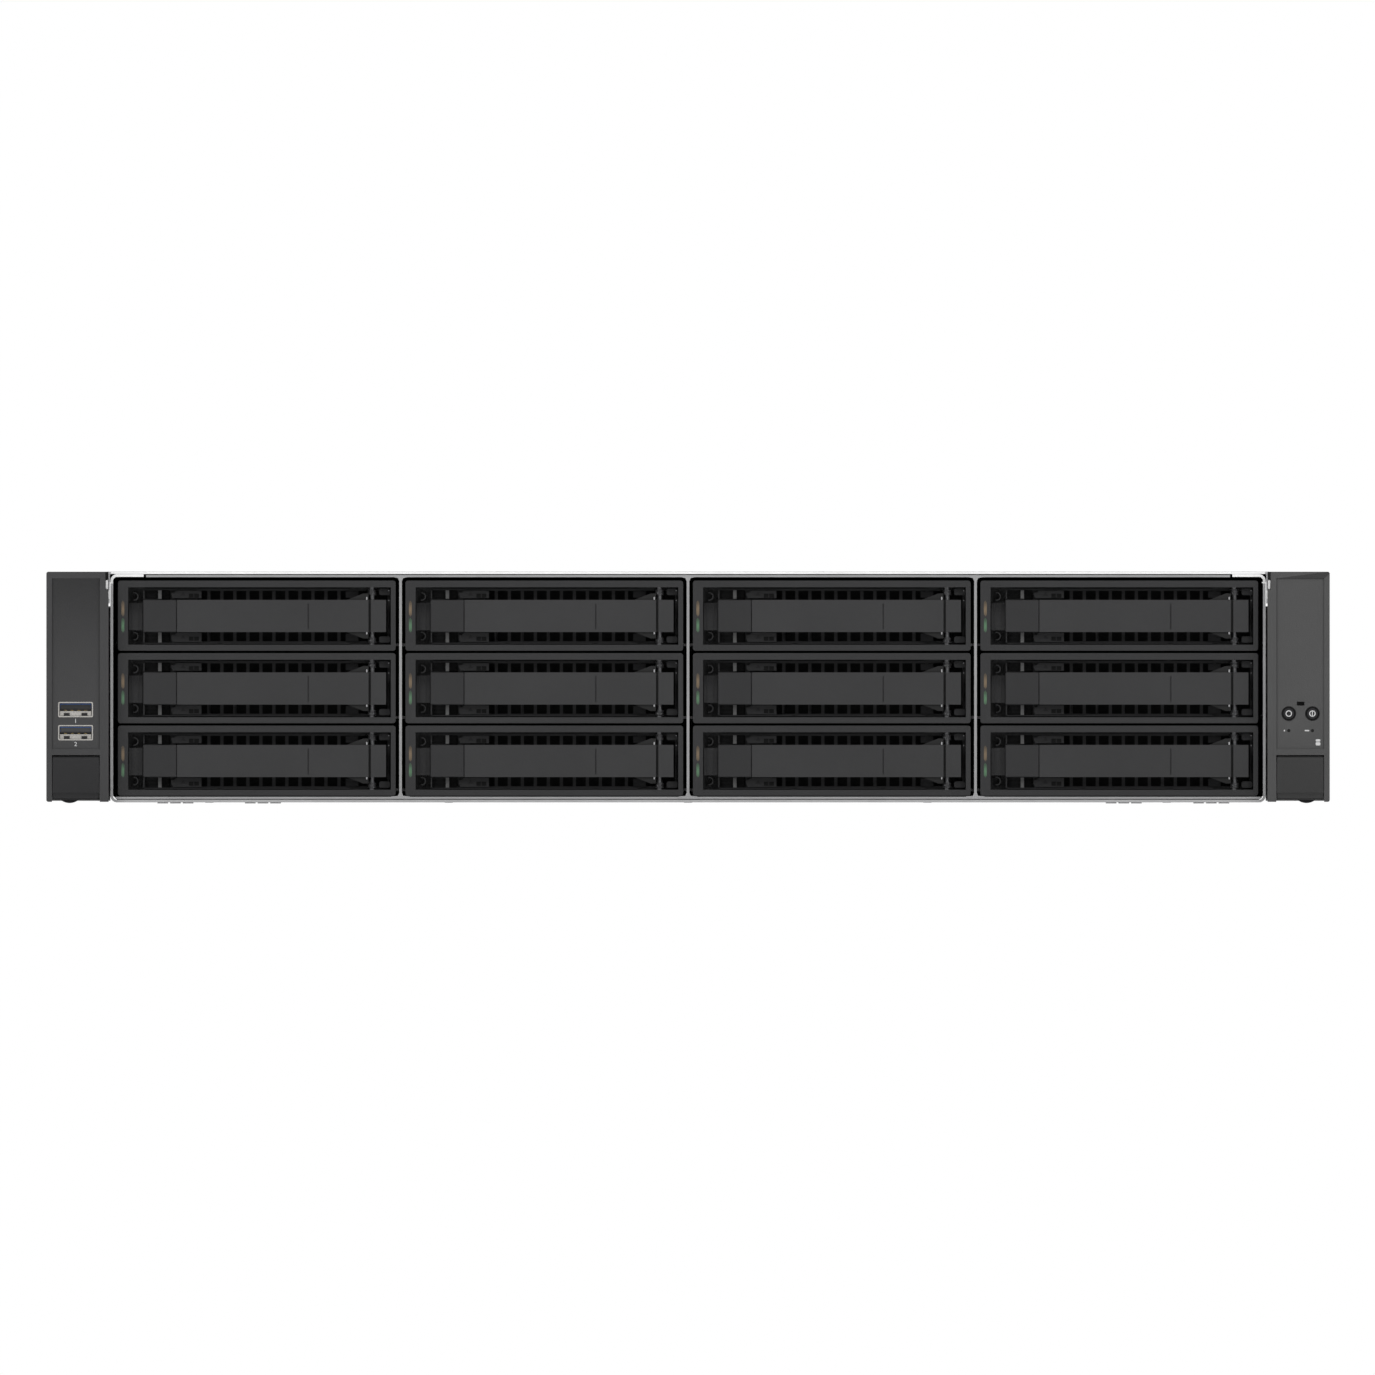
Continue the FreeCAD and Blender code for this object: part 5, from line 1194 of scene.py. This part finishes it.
def choose_chassis(centre, normal):
    """Painted shade on the ledges between the side walls and the carriers, painted highlight on
    the flanges above.
    """
    low, high = node_box("drive_cage")
    if normal.y < -0.9 and centre.y < low.y + 1 and centre.z > high.z - 1.2:
        return "painted_highlight"
    inside = abs(centre.x) < high.x + 0.8 and low.y + 2 < centre.y < high.y
    between = low.z + 2 < centre.z < high.z - 2
    # Ledges inside the bays take painted shade.
    return "pit" if inside and between and abs(normal.x) < 0.9 else "steel"


class SERVER_OT_case(bpy.types.Operator):
    """Dress the case: pan, walls, cage, covers and latch"""
    bl_idname = "server.case"
    bl_label = "Case and Covers"

    def execute(self, context):
        edge = sizes().sheet_edge
        dress("chassis_base", "zinc_steel", ("steel", "pit", "painted_highlight"), edge, choose_chassis)
        dress("drive_cage", "zinc_steel", ("cage",), edge)
        dress("front_cover", "cover_steel", ("cover", "painted_highlight"), edge, choose_front_cover)
        dress("top_cover", "cover_steel", ("cover",), edge)
        dress("cover_latch", "catch_plastic", ("catch",), sizes().plastic_edge)
        return {"FINISHED"}


# ---------------------------------------------------------------- rear

class Rear:
    """Places at the rear, mostly from the lower left corner of the rear sockets."""
    LOW, HIGH = node_box("rear_io")
    FACE = node_box("chassis_base")[1].y
    RISERS, RISER_PITCH = 2, 126.0
    SLOTS, SLOT_PITCH, SLOT_LOW = 3, 19.3, 25.95
    JACKS, JACK_PITCH = 4, 16.0
    JACKS_LEFT = LOW.x + 51.0
    VIDEO_LEFT = LOW.x + 5.0
    SERIAL_LEFT = LOW.x + 129.0
    SUPPLY_HANDLE = 28.0
    COVER_SETBACK = 0.2

    @classmethod
    def slot_corners(cls):
        """Left edge and foot of each slot."""
        return [(cls.LOW.x + riser * cls.RISER_PITCH, cls.SLOT_LOW + slot * cls.SLOT_PITCH)
                for riser in range(cls.RISERS) for slot in range(cls.SLOTS)]


def video_cuts():
    """Shape the video block into a flange, a shell and its hollow."""
    left, low = Rear.VIDEO_LEFT, Rear.LOW.z
    flange, end = Rear.FACE + 0.9, Rear.HIGH.y + 1
    return [((left - 1, flange, low - 1), (left + 6.8, end, low + 14)),
            ((left + 24.2, flange, low - 1), (left + 32, end, low + 14)),
            ((left + 6, flange, low - 1), (left + 25, end, low + 1.8)),
            ((left + 6, flange, low + 10.7), (left + 25, end, low + 14)),
            ((left + 7.4, flange - 3, low + 2.4), (left + 23.6, end, low + 10.1))]


def serial_cuts():
    """Hollows for the two stacked serial ports."""
    left = Rear.SERIAL_LEFT
    return [((left + 0.35, Rear.FACE - 9, low), (left + 12.75, Rear.FACE + 1, low + 5.1))
            for low in (Rear.LOW.z + 1.5, Rear.LOW.z + 9.0)]


def choose_rear(centre, normal):
    """Dark insides of the jacks, nickel shells, and steel for the covers and cages."""
    height = centre.z - Rear.LOW.z
    if 0 < centre.x - Rear.JACKS_LEFT < Rear.JACKS * Rear.JACK_PITCH and centre.z < 22:
        within = 2.4 < height < 11.2 and centre.y < Rear.FACE - 0.1
        return "cap" if within else "nickel"
    return "nickel" if centre.z < 24.2 and centre.y > Rear.FACE - 12 else "supply"


class SERVER_OT_rear_sockets(bpy.types.Operator):
    """Finish the sockets of the rear panel"""
    bl_idname = "server.rear_sockets"
    bl_label = "Rear Sockets"

    def execute(self, context):
        dress("rear_io", "zinc_steel", ("supply", "cap", "nickel"), sizes().sheet_edge,
              choose_rear, video_cuts() + serial_cuts())
        self.serial_stack()
        shape = Shape("tongue", "pit", "nickel", "gold", "green", "amber")
        self.video_plug(shape)
        self.jack_contacts(shape)
        shape.outward()
        add_piece("rear_contacts", shape.mesh("contacts"), "chassis", "screw_steel")
        return {"FINISHED"}

    def serial_stack(self):
        """Two serial ports, turned to open towards the rear."""
        shape = PortShape()
        x = Rear.SERIAL_LEFT + 6.55
        for z in (Rear.LOW.z + 4.05, Rear.LOW.z + 11.55):
            shape.port(x, z, -Rear.FACE - 0.2)
        bmesh.ops.rotate(shape.bm, cent=(x, 0, 0), matrix=Matrix.Rotation(math.pi, 3, "Z"),
                         verts=shape.bm.verts)
        shape.outward()
        add_piece("rear_serial_ports", shape.mesh("rear_serial"), "chassis", "screw_steel")

    def video_plug(self, shape):
        """Insert with three rows of pin holes, and a nut at each end; the holes are dark discs of
        painted shade.
        """
        left, low, face = Rear.VIDEO_LEFT, Rear.LOW.z, Rear.FACE
        insert = round_outline(left + 8.0, left + 23.0, low + 3.0, low + 9.5, radius=1.6)
        shape.prism(insert, face - 2, face + 3.6, "tongue")
        for row in range(3):
            for step in range(5):
                x = left + 10.0 + step * 2.5 + (1.0 if row == 1 else 0)
                # Each pin hole is a dark disc of painted shade.
                hole = disc_outline(x, low + 4.4 + row * 1.85, radius=0.5, count=10)
                shape.prism(hole, face + 3.3, face + 3.65, "pit")
        for x in (left + 3.3, left + 27.7):
            shape.prism(disc_outline(x, low + 6.25, radius=2.3, count=6), face + 0.8, face + 3.4,
                        "nickel")
            # The nut's hole is a dark disc of painted shade.
            shape.prism(disc_outline(x, low + 6.25, radius=1.2, count=12), face + 3.3,
                        face + 3.45, "pit")

    def jack_contacts(self, shape):
        """Eight contacts in each network jack, and two lamps above it."""
        low, face = Rear.LOW.z, Rear.FACE
        for jack in range(Rear.JACKS):
            middle = Rear.JACKS_LEFT + Rear.JACK_PITCH * (jack + 0.5)
            for contact in range(8):
                x = middle - 3.6 + contact * 1.02
                shape.prism(box_outline(x, x + 0.4, low + 9.2, low + 10.9), face - 9, face - 1.0,
                            "gold")
            for lamp, x in (("green", middle - 4.4), ("amber", middle + 4.4)):
                shape.prism(box_outline(x - 1.2, x + 1.2, low + 11.7, low + 12.9), face - 0.1,
                            face + 0.06, lamp)


def honeycomb(left, right, low, high, pitch):
    """Centres of six-sided holes, in staggered rows."""
    rise = pitch * math.sqrt(3) / 2
    spots = []
    for row in range(int((high - low) / rise)):
        shift = pitch / 2 * (row % 2)
        for step in range(int((right - left - shift) / pitch)):
            spots.append((left + shift + pitch * (step + 0.5), low + rise * (row + 0.5)))
    return spots


class SERVER_OT_grilles(bpy.types.Operator):
    """Perforate the power supplies, the slot covers and the rear panel"""
    bl_idname = "server.grilles"
    bl_label = "Rear Grilles"
    GAUGE = 0.4

    def execute(self, context):
        tree = grille_tree("supply")
        for level in ("upper", "lower"):
            low, high = node_box(f"power_supply_{level}")
            field = (low.x + 35.5, low.x + 66, low.z + 3, high.z - 3)
            self.grille(tree, f"power_supply_{level}", f"supply_grille_{level}", [field],
                        high.y - Rear.SUPPLY_HANDLE)
        fields = [(left + 8, left + 106, low + 3.0, low + 15.8)
                  for left, low in Rear.slot_corners()]
        self.grille(tree, "chassis", "slot_grilles", fields, Rear.FACE - Rear.COVER_SETBACK)
        panel = (Rear.HIGH.x + 7, Rear.HIGH.x + 94, 28, 78)
        self.grille(tree, "chassis", "panel_grille", [panel], Rear.FACE)
        return {"FINISHED"}

    def grille(self, tree, body, name, fields, rear):
        """Rings of metal round six-sided holes, over a dark sheet of painted shade."""
        spots, shadow_backing = [], Shape("pit")
        for field in fields:
            holes = honeycomb(*field, sizes().vent_pitch / MM)
            spots += [(x, rear + 0.25, z) for x, z in holes]
            across, up = zip(*holes)
            behind = box_outline(min(across) - 1, max(across) + 1, min(up) - 1, max(up) + 1)
            # A dark sheet behind the holes stands in for the shade inside them.
            shadow_backing.prism(behind, rear - 0.02, rear + 0.04)
        mesh = tree.grow(name, spots, Pitch=sizes().vent_pitch, Web=sizes().vent_web,
                         Gauge=self.GAUGE * MM)
        add_piece(name, mesh, body, "supply_metal")
        shadow_backing.outward()
        add_piece(f"{name}_backing", shadow_backing.mesh("shade"), body, "supply_metal")


# ----------------------------------------------------------- fasteners

def spread(first, last, count):
    """Evenly spaced values from first to last."""
    return [first + (last - first) * step / (count - 1) for step in range(count)]


class SERVER_OT_fasteners(bpy.types.Operator):
    """Set rivets and screws along the covers, the walls, the pan and the slots"""
    bl_idname = "server.fasteners"
    bl_label = "Rivets and Screws"
    UP, DOWN, BACK = (0, 0, 0), (math.pi, 0, 0), (-math.pi / 2, 0, 0)
    EDGE_IN = 7

    def execute(self, context):
        cover_low, cover_high = node_box("front_cover")
        top_low, top_high = node_box("top_cover")
        base_low, base_high = node_box("chassis_base")
        edge = cover_high.x - self.EDGE_IN
        spots = [(x, y, cover_high.z - 0.28) for x in spread(-edge, edge, 7)
                 for y in (cover_low.y + 8, cover_high.y - 10)]
        self.screws("front_cover_screws", self.UP, spots, rise=0.3)
        spots = [(x, y, top_high.z - 0.33) for x in (-edge, edge)
                 for y in spread(top_low.y + 20, top_high.y - 24, 5)]
        spots += [(x, top_high.y - 10, top_high.z - 0.33) for x in spread(-150, 150, 4)]
        self.rivets("cover_rivets", self.UP, spots, "top_cover")
        spots = [(x, y, base_low.z + 0.62) for x in spread(-180, 180, 5)
                 for y in spread(base_low.y + 60, base_high.y - 60, 6)]
        self.rivets("pan_rivets", self.DOWN, spots, "chassis")
        for side, sign in SIDES.items():
            spots = [(sign * (cover_high.x + 0.1), y, z)
                     for y in spread(base_low.y + 90, base_high.y - 30, 9) for z in (17, 70)]
            self.rivets(f"{side}_wall_rivets", (0, sign * math.pi / 2, 0), spots, "chassis")
        spots = [(left + 113, Rear.FACE - Rear.COVER_SETBACK, low + 9.2)
                 for left, low in Rear.slot_corners()]
        self.screws("slot_screws", self.BACK, spots, rise=1.2)
        return {"FINISHED"}

    def screws(self, name, turn, spots, rise):
        mesh = head_tree(name, "dark_steel", turn).grow(
            name, spots, Diameter=sizes().screw_head, Rise=rise * MM)
        add_piece(name, mesh, "chassis", "screw_steel")

    def rivets(self, name, turn, spots, body):
        mesh = head_tree(name, "steel", turn).grow(
            name, spots, Diameter=sizes().rivet_head, Rise=0.35 * MM)
        add_piece(name, mesh, body, "screw_steel")


# -------------------------------------------------------------- inside

def choose_board(centre, normal):
    """Metal for the cooler fins and the upright sides of what stands on the board."""
    height = centre.z - node_box("main_board")[0].z
    return "lid" if height > 34 or (abs(normal.x) > 0.9 and height > 1.7) else "board"


def choose_supply(level):
    """Black handle and inlet on a steel case."""
    low, high = node_box(f"power_supply_{level}")
    rear = high.y - Rear.SUPPLY_HANDLE

    def choose(centre, normal):
        handle = centre.y > rear + 0.05
        in_depth = rear - 17 < centre.y < rear - 0.05
        in_width = low.x + 2 < centre.x < low.x + 33
        in_height = low.z + 2 < centre.z < high.z - 2
        return "cap" if handle or (in_depth and in_width and in_height) else "supply"
    return choose


class SERVER_OT_inside(bpy.types.Operator):
    """Finish the boards, the fans and the power supplies"""
    bl_idname = "server.inside"
    bl_label = "Boards, Fans and Supplies"

    def execute(self, context):
        edge = sizes().plastic_edge
        dress("drive_backplane", "board_green", ("board",), edge * 0.5)
        dress("main_board", "board_green", ("board", "lid"), edge * 0.5, choose_board)
        dress("fan_frames", "fan_plastic", ("fan",), edge)
        for rotor in (name for name in NODES if name.startswith("fan_rotor_")):
            dress(rotor, "fan_plastic", ("fan",), edge)
        for level in ("upper", "lower"):
            dress(f"power_supply_{level}", "supply_metal", ("supply", "cap"),
                  sizes().sheet_edge, choose_supply(level))
            dress(f"psu_latch_{level}", "catch_plastic", ("catch",), edge)
        return {"FINISHED"}


# --------------------------------------------------------------- stage

class SERVER_OT_stage(bpy.types.Operator):
    """Lay the floor and set the lamps, the world and the camera"""
    bl_idname = "server.stage"
    bl_label = "Stage"

    def execute(self, context):
        lay_floor()
        set_world()
        set_lamps()
        set_camera()
        context.scene.view_settings.view_transform = "Standard"
        return {"FINISHED"}


def lay_floor():
    """A wide pale floor, a hair below the server's feet."""
    bm = bmesh.new()
    bmesh.ops.create_grid(bm, x_segments=1, y_segments=1, size=6.0,
                          matrix=Matrix.Translation((0, 0, -0.3 * MM)))
    mesh = bpy.data.meshes.new("floor")
    bm.to_mesh(mesh)
    bm.free()
    pale = Finish("pale_floor", Specular_IOR_Level=0.2)
    cloud = pale.noise(scale=3, detail=3)
    pale.feed("Base Color", pale.blend(cloud, (0.86, 0.86, 0.86), (0.9, 0.9, 0.9)))
    pale.feed("Roughness", cloud * 0.1 + 0.7)
    pale.lift_white(0.65)
    mesh.materials.append(pale.material)
    floor = bpy.data.objects.new("floor", mesh)
    bpy.context.scene.collection.objects.link(floor)


def set_world():
    """Soft grey light on the server, and white for the camera."""
    world = bpy.data.worlds.new("pale_room")
    world.use_nodes = True
    bpy.context.scene.world = world
    world.node_tree.nodes.clear()
    graph = Graph(world.node_tree)
    soft = graph.wire("ShaderNodeBackground", None, {"Color": grey(0.8), "Strength": 0.5})
    white = graph.wire("ShaderNodeBackground", None, {"Color": grey(1), "Strength": 1.0})
    mixed = graph.wire("ShaderNodeMixShader", None,
                       {"Fac": graph.any_ray("Camera", "Transmission"), 1: soft, 2: white})
    graph.node("ShaderNodeOutputWorld", None, {"Surface": mixed})


def add_lamp(name, place, aim, size, power):
    """A rectangular lamp, in metres and watts."""
    data = bpy.data.lights.new(name, "AREA")
    data.shape = "RECTANGLE"
    data.size, data.size_y = size
    data.energy = power
    lamp = bpy.data.objects.new(name, data)
    lamp.location = place
    lamp.rotation_euler = (Vector(aim) - Vector(place)).to_track_quat("-Z", "Y").to_euler()
    bpy.context.scene.collection.objects.link(lamp)


def set_lamps():
    """A broad lamp above, two in front and one behind for the rear views."""
    add_lamp("overhead", (0.0, -0.2, 1.9), (0, 0, 0), (2.2, 2.0), 11)
    add_lamp("front_left", (-1.4, -1.9, 1.1), (0, -0.3, 0.04), (1.2, 1.2), 20)
    add_lamp("front_right", (1.4, -1.9, 1.1), (0, -0.3, 0.04), (1.2, 1.2), 20)
    add_lamp("rear", (0.3, 2.2, 1.2), (0, 0.2, 0.04), (1.6, 1.2), 17)


VIEW_OVER_WIDTH = 517.04 / 482.6
CAMERA_DISTANCE = 2.0
CAMERA_SIDESTEP = -0.2 * MM


def set_camera():
    """Square-on from the front, without perspective."""
    low, high = CAD_BOX
    data = bpy.data.cameras.new("front_camera")
    data.type = "ORTHO"
    data.ortho_scale = (high.x - low.x) * VIEW_OVER_WIDTH
    data.clip_start, data.clip_end = 0.05, 20
    camera = bpy.data.objects.new("front_camera", data)
    camera.location = ((low.x + high.x) / 2 + CAMERA_SIDESTEP, low.y - CAMERA_DISTANCE,
                       (low.z + high.z) / 2)
    camera.rotation_euler = (math.radians(90), 0, 0)
    bpy.context.scene.collection.objects.link(camera)
    bpy.context.scene.camera = camera


# ---------------------------------------------------------- the add-on

OPERATORS = (
    SERVER_OT_stage,
    SERVER_OT_carriers,
    SERVER_OT_levers,
    SERVER_OT_release_buttons,
    SERVER_OT_light_pipes,
    SERVER_OT_bay_trim,
    SERVER_OT_hatching,
    SERVER_OT_springs,
    SERVER_OT_ears,
    SERVER_OT_serial_ports,
    SERVER_OT_ear_marks,
    SERVER_OT_push_buttons,
    SERVER_OT_captive_screws,
    SERVER_OT_case,
    SERVER_OT_fasteners,
    SERVER_OT_inside,
    SERVER_OT_rear_sockets,
    SERVER_OT_grilles,
)


class SERVER_PT_panel(bpy.types.Panel):
    """Buttons for the pieces, and the sizes and colours they use"""
    bl_idname = "SERVER_PT_panel"
    bl_label = "Rack Server"
    bl_space_type = "VIEW_3D"
    bl_region_type = "UI"
    bl_category = "Server"

    def draw(self, context):
        for operator in OPERATORS:
            self.layout.operator(operator.bl_idname)
        for group in (context.scene.server_sizes, context.scene.server_colours):
            for name in group.__annotations__:
                self.layout.prop(group, name)


CLASSES = (ServerSizes, ServerColours, *OPERATORS, SERVER_PT_panel)


def register():
    for each in CLASSES:
        bpy.utils.register_class(each)
    bpy.types.Scene.server_sizes = bpy.props.PointerProperty(type=ServerSizes)
    bpy.types.Scene.server_colours = bpy.props.PointerProperty(type=ServerColours)


def unregister():
    del bpy.types.Scene.server_colours
    del bpy.types.Scene.server_sizes
    for each in reversed(CLASSES):
        bpy.utils.unregister_class(each)


def call(operator):
    """Run one operator by its identifier, and stop if it can't finish."""
    family, name = operator.bl_idname.split(".")
    if getattr(getattr(bpy.ops, family), name)() != {"FINISHED"}:
        raise RuntimeError(f"{operator.bl_label} did not finish")


def main():
    register()
    for operator in OPERATORS:
        call(operator)


if __name__ == "__main__":
    main()
